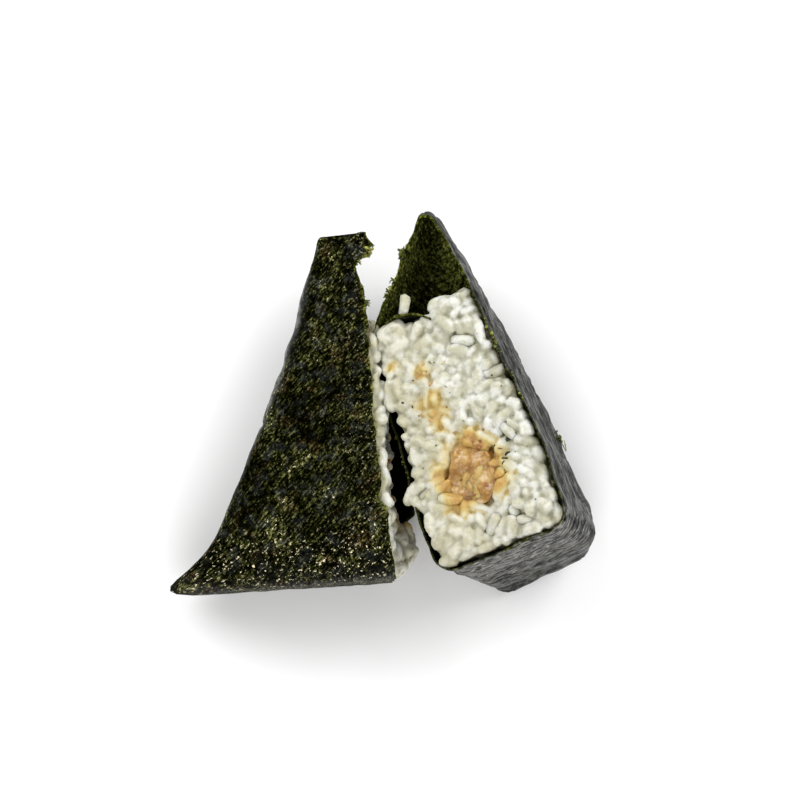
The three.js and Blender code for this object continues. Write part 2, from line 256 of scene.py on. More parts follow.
# %% Where the halves lie
OPEN_ANGLE = 69.0
RIGHT_PITCH = 9.5
RIGHT_TURN = 16.0
LEFT_TURN = 4.0
LEFT.turn = Matrix.Rotation(np.radians(LEFT_TURN), 3, "Z")
RIGHT.turn = (
    Matrix.Rotation(np.radians(RIGHT_TURN), 3, "Z")
    @ Matrix.Rotation(-np.radians(RIGHT_PITCH), 3, "X")
    @ Matrix.Rotation(np.radians(OPEN_ANGLE), 3, "Y")
)
LEFT.place = np.array([0, 0, OUTSIDE])
RIGHT.place = np.array([9.2, 1, 32.6])


def turn_to_table(vectors, shape):
    """Directions of a half, as they point once it lies on the table."""
    return (np.asarray(vectors, float) * [shape.side, 1, 1]) @ np.array(shape.turn).T


def to_table(points, shape, level=None):
    """Points of a half on the table, kept at least `level` above it where one is given."""
    world = turn_to_table(points, shape) + shape.place
    if level is not None:
        world[..., 2] = np.maximum(world[..., 2], level)
    return world


def from_table(world, shape):
    """Back from the table to the rice ball's own frame."""
    return ((np.asarray(world) - shape.place) @ np.array(shape.turn)) * [shape.side, 1, 1]


def skin_rows(off, side_end, top, side_rows, cap_rows=1, turn_rows=6):
    """Height, growth and closing share of each row of a skin that lies `off` outside the rice."""
    quarter = np.linspace(0, np.pi / 2, turn_rows + 1)
    top_radius = top - side_end
    side = np.linspace(BASE_RADIUS, side_end, side_rows)
    heights = [
        np.full(cap_rows, -off), BASE_RADIUS - (BASE_RADIUS + off) * np.cos(quarter[:-1]), side,
        side_end + (top_radius + off) * np.sin(quarter[1:]),
    ]
    grows = [
        np.full(cap_rows, -BASE_RADIUS), (BASE_RADIUS + off) * np.sin(quarter[:-1]) - BASE_RADIUS,
        np.full(side_rows, off), (top_radius + off) * np.cos(quarter[1:]) - top_radius,
    ]
    shares = np.linspace(0, 1, cap_rows, endpoint=False)
    shares = np.concatenate([shares, np.ones(2 * turn_rows + side_rows)])
    return np.concatenate(heights)[:, None], np.concatenate(grows)[:, None], shares[:, None]


def shift_to_origin():
    """From the halves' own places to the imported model's origin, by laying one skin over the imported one."""
    along = np.linspace(0, 1, 400)
    height, grow, _ = skin_rows(0, RICE_SIDE_END, RICE_TOP, 80)
    block = settle(half_loop(LEFT, height, grow, 0, 0, along), LEFT)
    height, grow, _ = skin_rows(OUTSIDE, NORI_SIDE_END, TIP_HEIGHT, 80)
    skin = pull_ear(half_loop(RIGHT, height, grow, 0, 0, along), RIGHT)
    shift_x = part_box("rice_left")[0][0] / TO_METRES - to_table(block, LEFT)[..., 0].min()
    shift_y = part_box("nori_right")[1][1] / TO_METRES - to_table(skin, RIGHT)[..., 1].max()
    return np.array([shift_x, shift_y, 0])


shift = shift_to_origin()
LEFT.place = LEFT.place + shift
RIGHT.place = RIGHT.place + shift
print("shift to the origin in mm:", shift.round(2))

# %% [markdown]
# Every piece becomes a mesh whose points carry what its finish needs to know: where they sit in the rice
# ball, how near a torn edge is, how stained the rice is. A finish then follows the food and not the
# table.

# %% From arrays to a piece
def add_object(name, data):
    """An object in the scene for a mesh, a light or a camera."""
    made = bpy.data.objects.new(name, data)
    bpy.context.scene.collection.objects.link(made)
    return made


def write_mark(mesh, name, values, kind="FLOAT"):
    """Gives each point of a mesh its own value, for finishes and node trees to read by name."""
    layer = mesh.attributes.new(name, kind, "POINT")
    number = np.int32 if kind == "INT" else np.float32
    field_name = "vector" if kind == "FLOAT_VECTOR" else "value"
    layer.data.foreach_set(field_name, np.asarray(values, number).ravel())


def read_points(mesh, what="co"):
    """The place or the normal of each point of a mesh, as rows of three."""
    flat = np.empty(len(mesh.vertices) * 3, np.float32)
    mesh.vertices.foreach_get(what, flat)
    return flat.reshape(-1, 3)


def smooth_faces(mesh):
    mesh.polygons.foreach_set("use_smooth", np.ones(len(mesh.polygons), bool))


def make_piece(name, points, faces, marks=None, vectors=None):
    """A smooth mesh from points in millimetres on the table, with one number or vector for each point."""
    mesh = bpy.data.meshes.new(name)
    mesh.from_pydata((np.asarray(points).reshape(-1, 3) * TO_METRES).tolist(), [], np.asarray(faces).tolist())
    smooth_faces(mesh)
    for mark, values in (marks or {}).items():
        write_mark(mesh, mark, values)
    for mark, values in (vectors or {}).items():
        write_mark(mesh, mark, values, "FLOAT_VECTOR")
    mesh.update()
    return add_object(name, mesh)


def grid_faces(rows, columns, start=0, closed=False):
    """Four-sided faces between neighbouring points of a grid; `closed` joins each row's end to its start."""
    row, column = np.meshgrid(np.arange(rows - 1), np.arange(columns - (not closed)), indexing="ij")
    a = start + row * columns + column
    b = start + row * columns + (column + 1) % columns
    return np.stack([a, b, b + columns, a + columns], axis=-1).reshape(-1, 4)


def finish_mesh(piece, merge_mm=0.004):
    """Welds the doubled points of poles and seams and turns every face outwards."""
    work = bmesh.new()
    work.from_mesh(piece.data)
    bmesh.ops.remove_doubles(work, verts=work.verts, dist=merge_mm * TO_METRES)
    bmesh.ops.recalc_face_normals(work, faces=work.faces)
    work.to_mesh(piece.data)
    work.free()
    print(piece.name, "faces:", len(piece.data.polygons))
    return piece


# %% [markdown]
# ## The nori
# A sheet of pressed seaweed, about half a millimetre thick now that it has softened against the rice. It
# shows the grains below as low dimples, it wrinkles along the cut where it was pulled round the edges, and
# it tears into fibres. It is made as one fine grid of points, moved along its own normal, with a second
# grid for its inside.

# %% Sheet of nori: the plain grid
SHEET_COLUMNS = 200
SHEET_THICKNESS = 0.45


def tear_at(tear, height):
    heights, insets = zip(*tear)
    return np.interp(height, heights, insets)


def sheet_grid(shape, off):
    height, grow, share = skin_rows(off, NORI_SIDE_END, TIP_HEIGHT, side_rows=142, cap_rows=50)
    along = np.linspace(0, 1, SHEET_COLUMNS)[None, :]
    insets = tear_at(shape.back_tear, height), tear_at(shape.front_tear, height)
    points = half_loop(shape, height, grow, *insets, along)
    middle = (points[:, :1] + points[:, -1:]) / 2
    points[..., 1] += smoothstep(height, 68, 75) * 0.9 * field(points * [1, 0, 0], 2.6, shape.seed + 9)
    closed = middle + (points - middle) * share[..., None]
    last = closed[-1:]
    fold = (last[:, :1] + last[:, -1:]) / 2 + (last - last[:, :1]) * 0
    return np.concatenate([closed, fold], axis=0)


def grid_normals(points):
    """Outward normals of a grid, from its neighbours."""
    across = np.gradient(points, axis=1)
    up = np.gradient(points, axis=0)
    normal = np.cross(up, across)
    length = np.linalg.norm(normal, axis=-1, keepdims=True)
    normal = normal / np.maximum(length, 1e-9)
    normal[0] = normal[1]
    normal[-1] = normal[-2]
    return normal


# %% Sheet of nori: wrinkles, dimples and torn edges
CREASE_HEIGHT = 36.0
CREASE_WIDTH = 0.7
TEAR_SPREAD = 1.1


def face_on(local, shape):
    """1 on the flat front of the rice ball, 0 on its slanting side, base and back."""
    x, y, z = np.moveaxis(local, -1, 0)
    below = front_at(np.minimum(x, depth_at(y, shape)), np.clip(y, 0, TIP_HEIGHT), shape) - z
    return smoothstep(below, 4.5, 1.0) * smoothstep(y, -1, 2.5)


def shine_at(local, shape):
    """Where the pulled nori shines, and where its finish paints a silver reflection into its colour: all round
    the open half, and up the flat half's slanting side.
    """
    if shape.side > 0:
        return np.ones(local.shape[:-1])
    return (1 - face_on(local, shape)) * (0.3 + 0.7 * smoothstep(local[..., 1], 22, 44))


def sheet_relief(local, shape):
    """How far the sheet stands out: dimples over the grains, wrinkles along the cut, slack at the tip."""
    x, y, z = np.moveaxis(local, -1, 0)
    over_rice = 1 - smoothstep(y, RICE_TOP - 3, RICE_TOP + 4)
    dimples = 0.16 * field(local, 3.2, shape.seed) + 0.10 * field(local, 1.7, shape.seed + 1)
    stretched = np.stack([x, y * 0.16, z * 0.16], axis=-1)
    bent = stretched + 0.5 * field(local, 6.0, shape.seed + 2)[..., None]
    ridges = 1 - 2 * np.abs(field(bent, 2.0, shape.seed + 3))
    fine = 1 - 2 * np.abs(field(bent, 1.1, shape.seed + 4))
    pulled = (0.12 + 0.88 * shine_at(local, shape)) * shape.wrinkle_share
    slack = 0.55 * field(local, 9.0, shape.seed + 5) + 0.25 * field(local, 4.0, shape.seed + 6)
    buckles = shape.buckle_height * field(local, 11.0, shape.seed + 7)
    from_crease = y - CREASE_HEIGHT - 1.5 * field(local, 9, shape.seed + 8)
    crease = -shape.crease_depth * np.exp(-(from_crease / CREASE_WIDTH) ** 2)
    wrinkles = pulled * (0.34 * ridges + 0.2 * fine)
    return over_rice * dimples + wrinkles + (1 - over_rice) * slack + buckles + crease


def torn_reach(local, fringe, seed):
    """How far the torn edge reaches out or is set back, in mm, at each point near it."""
    x, y, z = np.moveaxis(local, -1, 0)
    flat = np.stack([0 * y, y, z], axis=-1)
    reach = 0.32 * field(flat, 2.3, seed) + 0.22 * field(flat, 0.9, seed + 1)
    ragged = 0.45 + 0.55 * field(flat, 0.8, seed + 2) + 0.3 * field(flat, 2, seed + 3)
    for middle, length, spread in fringe:
        frayed = np.exp(-((y - middle) / spread) ** 2)
        reach = reach + frayed * length * ragged
    return reach


def tear_edges(points, local, shape):
    """Moves the points by the two cut edges, and tells how near each point of the sheet is to one."""
    away_back = np.linalg.norm(points - points[:, :1], axis=-1)
    away_front = np.linalg.norm(points - points[:, -1:], axis=-1)
    torn = points.copy()
    for away, fringe, seed in ((away_back, shape.back_fringe, 20), (away_front, shape.front_fringe, 30)):
        torn[..., 0] -= np.exp(-(away / TEAR_SPREAD) ** 2) * torn_reach(local, fringe, shape.seed + seed)
    return torn, np.exp(-np.minimum(away_back, away_front) / 1.6)


def make_sheet(shape):
    outer = sheet_grid(shape, OUTSIDE)
    relief = sheet_relief(outer, shape)[..., None] * grid_normals(outer)
    sides = []
    for off, level in ((OUTSIDE, 0), (OUTSIDE - SHEET_THICKNESS, SHEET_THICKNESS)):
        plain = sheet_grid(shape, off)
        moved, edge = tear_edges(plain + relief, outer, shape)
        sides.append(to_table(pull_ear(moved, shape), shape, level))
    rows, columns = outer.shape[:2]
    count = rows * columns
    first = np.arange(rows - 1) * columns
    last = first + columns - 1
    rims = [
        np.stack([first, first + columns, first + columns + count, first + count], axis=-1),
        np.stack([last + columns, last, last + count, last + columns + count], axis=-1),
    ]
    faces = [grid_faces(rows, columns), grid_faces(rows, columns, count)[:, ::-1], *rims]
    inside = np.concatenate([np.zeros(count), np.ones(count)])
    shine = np.tile(shine_at(outer, shape).ravel(), 2)
    marks = {"edge": np.tile(edge.ravel(), 2), "inside": inside, "shine": shine}
    body = np.tile(outer.reshape(-1, 3), (2, 1))
    shape.heights = outer[:, -1, 1]
    shape.front_edge = sides[0][:, -1]
    shape.back_edge = sides[0][:, 0]
    faces = np.concatenate(faces)
    return finish_mesh(make_piece(f"nori_sheet_{shape.name}", sides, faces, marks, {"body": body}))


sheets = [make_sheet(LEFT), make_sheet(RIGHT)]

# %% [markdown]
# The inner end of the sheet lies folded in the hollow tip of the open half, arched over the rice at its
# back. It is a strip of the same nori, so it is made the same way: a grid, a thickness and a torn edge.

# %% Flap of nori in the open half
FLAP = SimpleNamespace(depth=11, proud=1.3, rise=3.2, start=0.4, end=14.5, start_height=52.6, end_height=52.4)
FLAP_ROWS = 70
FLAP_COLUMNS = 60


def flap_surface(offset):
    along = np.linspace(0, 1, FLAP_ROWS)[:, None]
    inward = np.linspace(0, 1, FLAP_COLUMNS)[None, :]
    z = FLAP.start + (FLAP.end - FLAP.start) * along + 0 * inward
    y = FLAP.start_height + (FLAP.end_height - FLAP.start_height) * along ** 2
    y = y + FLAP.rise * np.sin(np.pi * along) * (1 - 0.25 * inward)
    x = FLAP.depth * inward - FLAP.proud * (1 - inward) + 0.7 * np.sin(9 * along) * (1 - inward)
    points = np.stack([x + 0 * z, y + 0 * z, z], axis=-1)
    ragged = 0.7 * field(points * [0, 1, 1], 2.4, 51) + 0.35 * field(points * [0, 1, 1], 0.9, 52)
    points[..., 0] += ragged * (1 - inward) ** 4
    relief = 0.35 * field(points, 4.0, 53) + 0.14 * (1 - 2 * np.abs(field(points * [1, 1, 0.3], 1.4, 54)))
    return points + grid_normals(points) * (relief + offset)[..., None], inward + 0 * along


def make_flap():
    upper, inward = flap_surface(0.22)
    lower, _ = flap_surface(-0.22)
    rows, columns = upper.shape[:2]
    count = rows * columns
    edge = np.exp(-inward * FLAP.depth / 1.2).ravel()
    border = np.concatenate([
        np.arange(columns), np.arange(1, rows) * columns + columns - 1,
        (rows - 1) * columns + np.arange(columns - 2, -1, -1), np.arange(rows - 2, 0, -1) * columns,
    ])
    after = np.roll(border, -1)
    rim = np.stack([border, after, after + count, border + count], axis=-1)
    faces = [grid_faces(rows, columns), grid_faces(rows, columns, count)[:, ::-1], rim]
    local = np.concatenate([upper.reshape(-1, 3), lower.reshape(-1, 3)])
    # The whole flap shines, so it also gets the painted silver reflection.
    marks = {"edge": np.tile(edge, 2), "inside": np.full(2 * count, 0.35), "shine": np.ones(2 * count)}
    table = to_table(local, RIGHT)
    return finish_mesh(make_piece("nori_inner_end", table, np.concatenate(faces), marks, {"body": local}))


flap = make_flap()

# %% [markdown]
# ## The rice
# Cooked short grains, four to eight millimetres long, stuck together. Only the grains at the cut and
# under the hollow tip are ever seen, so those are real grains, two or three deep, over a lumpy core.
# Where a grain sits is found as it happens in the mould: grains are dropped in at random, then pushed
# apart and against the walls until they lie snug.

# %% The cut face and the top of the rice
CLUMP = SimpleNamespace(height=6.0, level=12.0, reach=5.2, spread=4.6)


def proud_at(height, level, shape):
    """How far the cut face of the rice stands proud of the plane of the cut."""
    room = np.minimum.reduce([
        height, level - back_at(height), RICE_TOP - height, front_at(0, height, shape) - level,
    ])
    bump = 0.9 * lumps(height, level, shape.lump_phase)
    bump = bump + 0.4 * lumps(2.1 * level, 1.9 * height, shape.lump_phase + 1)
    away = (height - CLUMP.height) ** 2 + (level - CLUMP.level) ** 2
    clump = CLUMP.reach * np.exp(-away / (2 * CLUMP.spread ** 2)) if shape.side < 0 else 0
    return smoothstep(room, 0, 4) * (shape.cut_proud + bump) + clump


def rice_top_at(level):
    return RICE_TOP + RICE_TOP_LIFT * (level / THICKNESS - 0.5)


def depth_in_rice(points, shape):
    """How deep points lie below the cut face, the top and the four skins, as one array each."""
    x, y, z = np.moveaxis(points, -1, 0)
    level = np.clip(y, 0, TIP_HEIGHT)
    return (
        x + proud_at(level, z, shape), rice_top_at(z) - y, z - back_at(level),
        front_at(np.maximum(x, 0), level, shape) - z, y, depth_at(level, shape) - x,
    )


def skin_depth(points, shape):
    """How deep points lie below the wrapped skins, its rounded edges included."""
    x, y, z = np.moveaxis(points, -1, 0)
    level = np.clip(y, 0, TIP_HEIGHT)
    depth, back = depth_at(level, shape), back_at(level)
    room = front_at(depth, level, shape) - back
    radius = edge_radius(level, room)
    corner = depth - radius
    high = front_at(corner, level, shape) - radius
    past = np.stack([x - corner, np.maximum(z - high, back + radius - z), BASE_RADIUS - y], axis=-1)
    rounded = radius - np.hypot(np.maximum(past[..., 0], 0), np.maximum(past[..., 1], 0))
    rounded = np.where(past[..., 0] > 0, rounded, THICKNESS)
    past_base = np.maximum(past[..., 0] + radius - BASE_RADIUS, 0)
    low = BASE_RADIUS - np.hypot(np.maximum(past[..., 2], 0), past_base)
    flat = np.minimum.reduce(depth_in_rice(points, shape)[2:])
    return np.minimum.reduce([rounded, low + 0.8, flat + 0.3])


# %% Core of the rice
CORE_BELOW = 2.3
CORE_INSET = 0.3
POCKET = SimpleNamespace(height=16.8, level=13.2, half_height=6.4, half_level=6.0, depth=5.0)


def pocket_share(height, level, grow=1.0):
    """1 in the middle of the filling, falling to 0 at its rim."""
    ragged = 0.4 * field(np.stack([0 * height, height, level], axis=-1), 3.4, 77)
    up = (height - POCKET.height) / POCKET.half_height
    out = (level - POCKET.level) / POCKET.half_level
    away = up ** 2 + out ** 2
    return np.clip(1 - away / grow ** 2 + ragged * np.minimum(away, 1), 0, 1)


def make_core(shape):
    """The rice below its outer grains: the body's block, set in behind the cut and the top, with lumps."""
    height, grow, _ = skin_rows(-CORE_INSET, RICE_SIDE_END, RICE_TOP, side_rows=90, turn_rows=5)
    height = height - smoothstep(height, RICE_TOP - 12, RICE_TOP) * CORE_BELOW
    skin = half_loop(shape, height, grow, CORE_BELOW, CORE_BELOW, np.linspace(0, 1, 90)[None, :])
    across = np.linspace(0, 1, 46)[None, 1:-1, None]
    face = skin[:, -1:] + (skin[:, :1] - skin[:, -1:]) * across
    face[..., 0] = CORE_BELOW - proud_at(face[..., 1], face[..., 2], shape)
    face[..., 0] += POCKET.depth * smoothstep(pocket_share(face[..., 1], face[..., 2], 0.9), 0, 0.5)
    rings = np.concatenate([skin, face], axis=1)
    climb = smoothstep(rings[..., 1], RICE_TOP - 20, RICE_TOP) * RICE_TOP_LIFT
    rings[..., 1] += climb * (rings[..., 2] / THICKNESS - 0.5)
    relief = 0.55 * field(rings, 2.6, shape.seed + 40) + 0.25 * field(rings, 1.3, shape.seed + 41)
    open_side = smoothstep(rings[..., 0], 6, 1)
    rings[..., 0] -= relief * open_side
    rings[..., 1] += relief * smoothstep(rings[..., 1], RICE_TOP - 9, RICE_TOP - 4)
    ends = [np.broadcast_to(ring.mean(axis=0), ring.shape)[None] for ring in (rings[0], rings[-1])]
    rings = np.concatenate([ends[0], rings, ends[1]])
    table = to_table(settle(rings, shape), shape, OUTSIDE)
    faces = grid_faces(rings.shape[0], rings.shape[1], closed=True)
    return finish_mesh(make_piece(f"rice_core_{shape.name}", table, faces))


cores = [make_core(LEFT), make_core(RIGHT)]

# %% [markdown]
# The filling's sauce has soaked into the rice round it and run a little way up the cut. So the stain is a
# rule and not a drawing: one soft blot on the pocket, a few round its rim, and a seeded trail of small
# ones that runs from the pocket towards the tip. The random field breaks them up.

# %% Where the sauce has soaked in
TRAIL_START = (23.0, 14.0)  # height and level on the cut face, just above the pocket
TRAIL_END = (46.0, 6.0)
TRAIL_BLOTS = 12
RIM_BLOTS = 5
BLOT_SEED = 37


def make_blots():
    """Soft blots as (height, level, size, strength): the pocket, its rim, and a trail up the face."""
    rng = np.random.default_rng(BLOT_SEED)
    blots = [(POCKET.height, POCKET.level, POCKET.half_height, 1.0)]
    turns = np.linspace(0, 2 * np.pi, RIM_BLOTS, endpoint=False) + rng.uniform(-0.4, 0.4, RIM_BLOTS)
    for turn in turns:
        height = POCKET.height + POCKET.half_height * np.cos(turn)
        level = POCKET.level + POCKET.half_level * np.sin(turn)
        blots.append((height, level, rng.uniform(2.6, 4.0), rng.uniform(0.35, 0.7)))
    for share in np.linspace(0, 1, TRAIL_BLOTS):
        height = TRAIL_START[0] + (TRAIL_END[0] - TRAIL_START[0]) * share + rng.normal(0, 1.2)
        level = TRAIL_START[1] + (TRAIL_END[1] - TRAIL_START[1]) * share + rng.normal(0, 2.8)
        blots.append((height, level, rng.uniform(1.0, 2.8), rng.uniform(0.25, 0.5)))
    middle = np.add(TRAIL_START, TRAIL_END) / 2
    blots.append((middle[0], middle[1], 6.0, 0.15))
    return blots


BLOTS = make_blots()
SOAK_DEPTH = 7.0
WANDER = 1.1
STRONGEST_STAIN = 0.72


def stain_at(local, shape):
    """How strongly the rice is stained at each point, from 0 to about 1."""
    x, y, z = np.moveaxis(np.asarray(local), -1, 0)
    wander = np.stack([field(local, 5.0, 71), field(local, 5.0, 72)], axis=-1) * WANDER
    total = 0
    for height, level, size, strength in BLOTS:
        away = (y + wander[..., 0] - height) ** 2 + (z + wander[..., 1] - level) ** 2
        total = total + strength * np.exp(-away / size ** 2)
    patchy = 0.80 + 0.35 * field(local, 2.2, 73) + 0.25 * field(local, 4.5, 74)
    fade = np.exp(-(np.maximum(x, 0) / SOAK_DEPTH) ** 2)
    return np.clip(total * patchy * fade, 0, STRONGEST_STAIN)


# %% Seats of the grains
LAYER = 6.4
PACK_STEPS = 70
SOFTNESS = 0.84
GRAIN_PUSH = 0.35
OPEN_PUSH = 0.6
WRAPPED_PUSH = 0.8
WALL_GIVE = 0.25
DRIFT = 0.05
DRIFT_BELOW = 2.0
WALLS = ((0, 1), (1, -1), (2, 1), (2, -1), (1, 1), (0, -1))  # axis and way that each wall pushes a grain


def random_seats(shape, rng, count):
    """Random places within the layer of whole grains below the cut face and the top."""
    seats = np.zeros((0, 3))
    while len(seats) < count:
        tries = rng.uniform([-7, 0, 0], [shape.base_depth, RICE_TOP + 3, THICKNESS + 1], (4000, 3))
        depths = np.array(depth_in_rice(tries, shape))
        below = np.minimum(depths[0], depths[1])
        good = (depths.min(axis=0) > 1.0) & (below < LAYER)
        seats = np.concatenate([seats, tries[good]])
    return seats[:count]


def balls_of(centre, axis, reach):
    """The three balls that stand for each grain while it is pushed about."""
    return (centre[:, None] + axis[:, None] * (reach[:, None] * [-1, 0, 1])[..., None]).reshape(-1, 3)


def pack_grains(shape, count):
    """Centres, axes, lengths and widths of grains that have pushed each other and the walls until snug."""
    rng = np.random.default_rng(shape.seed)
    centre = random_seats(shape, rng, count)
    axis = rng.normal(size=(count, 3)) * [0.55, 1, 1]
    axis /= np.linalg.norm(axis, axis=1, keepdims=True)
    length = rng.uniform(3.9, 6.2, count)
    width = rng.uniform(2.2, 3.2, count)
    proud = rng.uniform(-0.9, 0.9, count) - shape.set_back
    reach = (length - width) / 2
    ball = np.repeat(width / 2, 3)
    grain = np.repeat(np.arange(count), 3)
    for _ in range(PACK_STEPS):
        balls = balls_of(centre, axis, reach)
        apart = balls[:, None] - balls[None]
        distance = np.linalg.norm(apart, axis=-1) + 1e-6
        overlap = np.clip(SOFTNESS * (ball[:, None] + ball[None]) - distance, 0, None)
        overlap[grain[:, None] == grain[None]] = 0
        push = (apart / distance[..., None] * overlap[..., None]).sum(axis=1) * GRAIN_PUSH
        depths = np.array(depth_in_rice(balls, shape))
        open_room = ball - np.repeat(proud, 3)
        wrapped_room = ball - WALL_GIVE
        for wall, (direction, sign) in enumerate(WALLS):
            room, strength = (open_room, OPEN_PUSH) if wall < 2 else (wrapped_room, WRAPPED_PUSH)
            push[:, direction] += sign * (np.clip(room - depths[wall], 0, None) * strength)
        outward = DRIFT * (np.minimum(depths[0], depths[1]) > DRIFT_BELOW)
        push[:, 0] -= outward * (depths[0] <= depths[1])
        push[:, 1] += outward * (depths[0] > depths[1])
        moves = push.reshape(count, 3, 3)
        centre = centre + moves.mean(axis=1)
        tips = axis * reach[:, None] * 2 + (moves[:, 2] - moves[:, 0])
        axis = tips / np.linalg.norm(tips, axis=1, keepdims=True)
    balls = balls_of(centre, axis, reach)
    snug = (skin_depth(balls, shape) > 0.5 * ball).reshape(count, 3).all(axis=1)
    return centre[snug], axis[snug], length[snug], width[snug]

# %% [markdown]
# A cooked grain is a soft bean: rounder at one end, a little bent, flattened where it lay against others,
# with a shallow dent where its germ was. Six such shapes are enough, because each seat turns and
# stretches its own.

# %% Shapes of a grain
GRAIN_KINDS = 6
GRAIN_SIDES = 10
GRAIN_RINGS = 7


def make_grain(kind):
    """One grain of unit length along X and unit width, of a few dozen faces."""
    rng = np.random.default_rng(100 + kind)
    along = np.linspace(-1, 1, GRAIN_RINGS + 2)[:, None]
    turn = np.linspace(0, 2 * np.pi, GRAIN_SIDES, endpoint=False)[None, :]
    girth = np.sqrt(np.clip(1 - np.abs(along) ** 2.4, 0, 1)) * (1 + rng.uniform(-0.24, 0.24) * along)
    x = 0.5 * np.sign(along) * np.abs(along) ** 0.8
    dent = 1 - rng.uniform(0.1, 0.3) * np.exp(-((along - 0.55) / 0.3) ** 2) * np.clip(np.cos(turn), 0, 1) ** 2
    lumpy = 1 + rng.uniform(0.05, 0.13) * np.sin(2 * turn + 3 * along + rng.uniform(0, 6))
    y = 0.5 * girth * np.cos(turn) * dent * lumpy
    z = 0.5 * girth * np.sin(turn) * lumpy * rng.uniform(0.72, 0.92)
    bend = rng.uniform(-0.17, 0.17) * (along ** 2 - 0.3)
    points = np.stack([x + 0 * turn, y + bend, z + 0 * along], axis=-1)
    faces = grid_faces(GRAIN_RINGS + 2, GRAIN_SIDES, closed=True)
    return finish_mesh(make_piece(f"grain_shape_{kind}", points / TO_METRES, faces), 1)


grain_shapes = [make_grain(kind) for kind in range(GRAIN_KINDS)]

# %% [markdown]
# Geometry Nodes set the shapes on their seats. The seats are bare points that carry a turn, a size and
# the number of a shape; the tree puts an instance on each, makes the instances real and gives them their
# material.

# %% A tree that sets shapes on seats
def make_seat_tree(name):
    tree = bpy.data.node_groups.new(name, "GeometryNodeTree")
    face = tree.interface
    face.new_socket("Seats", in_out="INPUT", socket_type="NodeSocketGeometry")
    face.new_socket("Shapes", in_out="INPUT", socket_type="NodeSocketCollection")
    face.new_socket("Material", in_out="INPUT", socket_type="NodeSocketMaterial")
    face.new_socket("Pieces", in_out="OUTPUT", socket_type="NodeSocketGeometry")

    def add(kind, settings=None, links=None):
        node = tree.nodes.new(kind)
        for key, value in (settings or {}).items():
            setattr(node, key, value)
        for key, value in (links or {}).items():
            if isinstance(value, bpy.types.NodeSocket):
                tree.links.new(value, node.inputs[key])
            else:
                node.inputs[key].default_value = value
        return node

    given = add("NodeGroupInput").outputs
    turn = add("GeometryNodeInputNamedAttribute", {"data_type": "FLOAT_VECTOR"}, {"Name": "turn"})
    size = add("GeometryNodeInputNamedAttribute", {"data_type": "FLOAT_VECTOR"}, {"Name": "size"})
    kind = add("GeometryNodeInputNamedAttribute", {"data_type": "INT"}, {"Name": "kind"})
    rotation = add("FunctionNodeEulerToRotation", None, {0: turn.outputs["Attribute"]})
    shapes = add("GeometryNodeCollectionInfo", None, {
        "Collection": given["Shapes"], "Separate Children": True, "Reset Children": True,
    })
    placed = add("GeometryNodeInstanceOnPoints", None, {
        "Points": given["Seats"], "Instance": shapes.outputs[0], "Pick Instance": True,
        "Instance Index": kind.outputs["Attribute"], "Rotation": rotation.outputs[0],
        "Scale": size.outputs["Attribute"],
    })
    real = add("GeometryNodeRealizeInstances", None, {0: placed.outputs[0]})
    painted = add("GeometryNodeSetMaterial", None, {0: real.outputs[0], "Material": given["Material"]})
    tree.links.new(painted.outputs[0], add("NodeGroupOutput").inputs[0])
    return tree


seat_tree = make_seat_tree("set_shapes_on_seats")


def euler_of(axis, spin):
    """Turn that lays a shape's X along `axis`, after spinning it about X."""
    towards = Vector(axis).to_track_quat("X", "Z").to_matrix()
    return (towards @ Matrix.Rotation(spin, 3, "X")).to_euler()


def made_by_modifiers(holder):
    """The plain mesh that an object's modifiers make. The object itself is removed."""
    evaluated = holder.evaluated_get(bpy.context.evaluated_depsgraph_get())
    result = bpy.data.meshes.new_from_object(evaluated)
    bpy.data.objects.remove(holder)
    return result


def set_on_seats(name, seats, shapes, material):
    """One plain mesh with a shape on every seat: a seat is (centre, axis, spin, size, kind), in mm."""
    centres, axes, spins, sizes, kinds = zip(*seats)
    mesh = bpy.data.meshes.new(name + "_seats")
    mesh.from_pydata([tuple(np.array(centre) * TO_METRES) for centre in centres], [], [])
    write_mark(mesh, "turn", [list(euler_of(axis, spin)) for axis, spin in zip(axes, spins)], "FLOAT_VECTOR")
    write_mark(mesh, "size", [list(np.array(size) * TO_METRES) for size in sizes], "FLOAT_VECTOR")
    write_mark(mesh, "kind", kinds, "INT")
    holder = add_object(name + "_holder", mesh)
    box = bpy.data.collections.new(name + "_shapes")
    for shape in shapes:
        box.objects.link(shape)
    modifier = holder.modifiers.new("set", "NODES")
    modifier.node_group = seat_tree
    given = {"Shapes": box, "Material": material}
    for item in seat_tree.interface.items_tree:
        if item.name in given:
            modifier[item.identifier] = given[item.name]
    result = made_by_modifiers(holder)
    bpy.data.collections.remove(box)
    smooth_faces(result)
    print(name, "shapes:", len(seats), "faces:", len(result.polygons))
    return add_object(name, result)


def add_marks(piece, shape, **marks):
    """Writes each mark, and the place in the rice ball, on every point of a finished piece."""
    local = from_table(read_points(piece.data) / TO_METRES, shape)
    write_mark(piece.data, "body", local, "FLOAT_VECTOR")
    for mark, rule in marks.items():
        write_mark(piece.data, mark, rule(local))


# %% [markdown]
# ## The finishes
# A small class lets a finish be written as sums: each value is the output of a node, and adding or
# multiplying two of them adds the Math node that does it. Colours go through Mix nodes, because a Math
# node turns them grey.

# %% Writing finishes as sums
class Wire:
    """One output of a node, which can be added, subtracted and multiplied."""

    def __init__(self, finish, socket):
        self.finish = finish
        self.socket = socket

    def maths(self, operation, first, second):
        return self.finish.node("ShaderNodeMath", {"operation": operation}, {0: first, 1: second})

    def __add__(self, other):
        return self.maths("ADD", self, other)

    def __sub__(self, other):
        return self.maths("SUBTRACT", self, other)

    def __rsub__(self, other):
        return self.maths("SUBTRACT", other, self)

    def __mul__(self, other):
        return self.maths("MULTIPLY", self, other)

    __radd__ = __add__


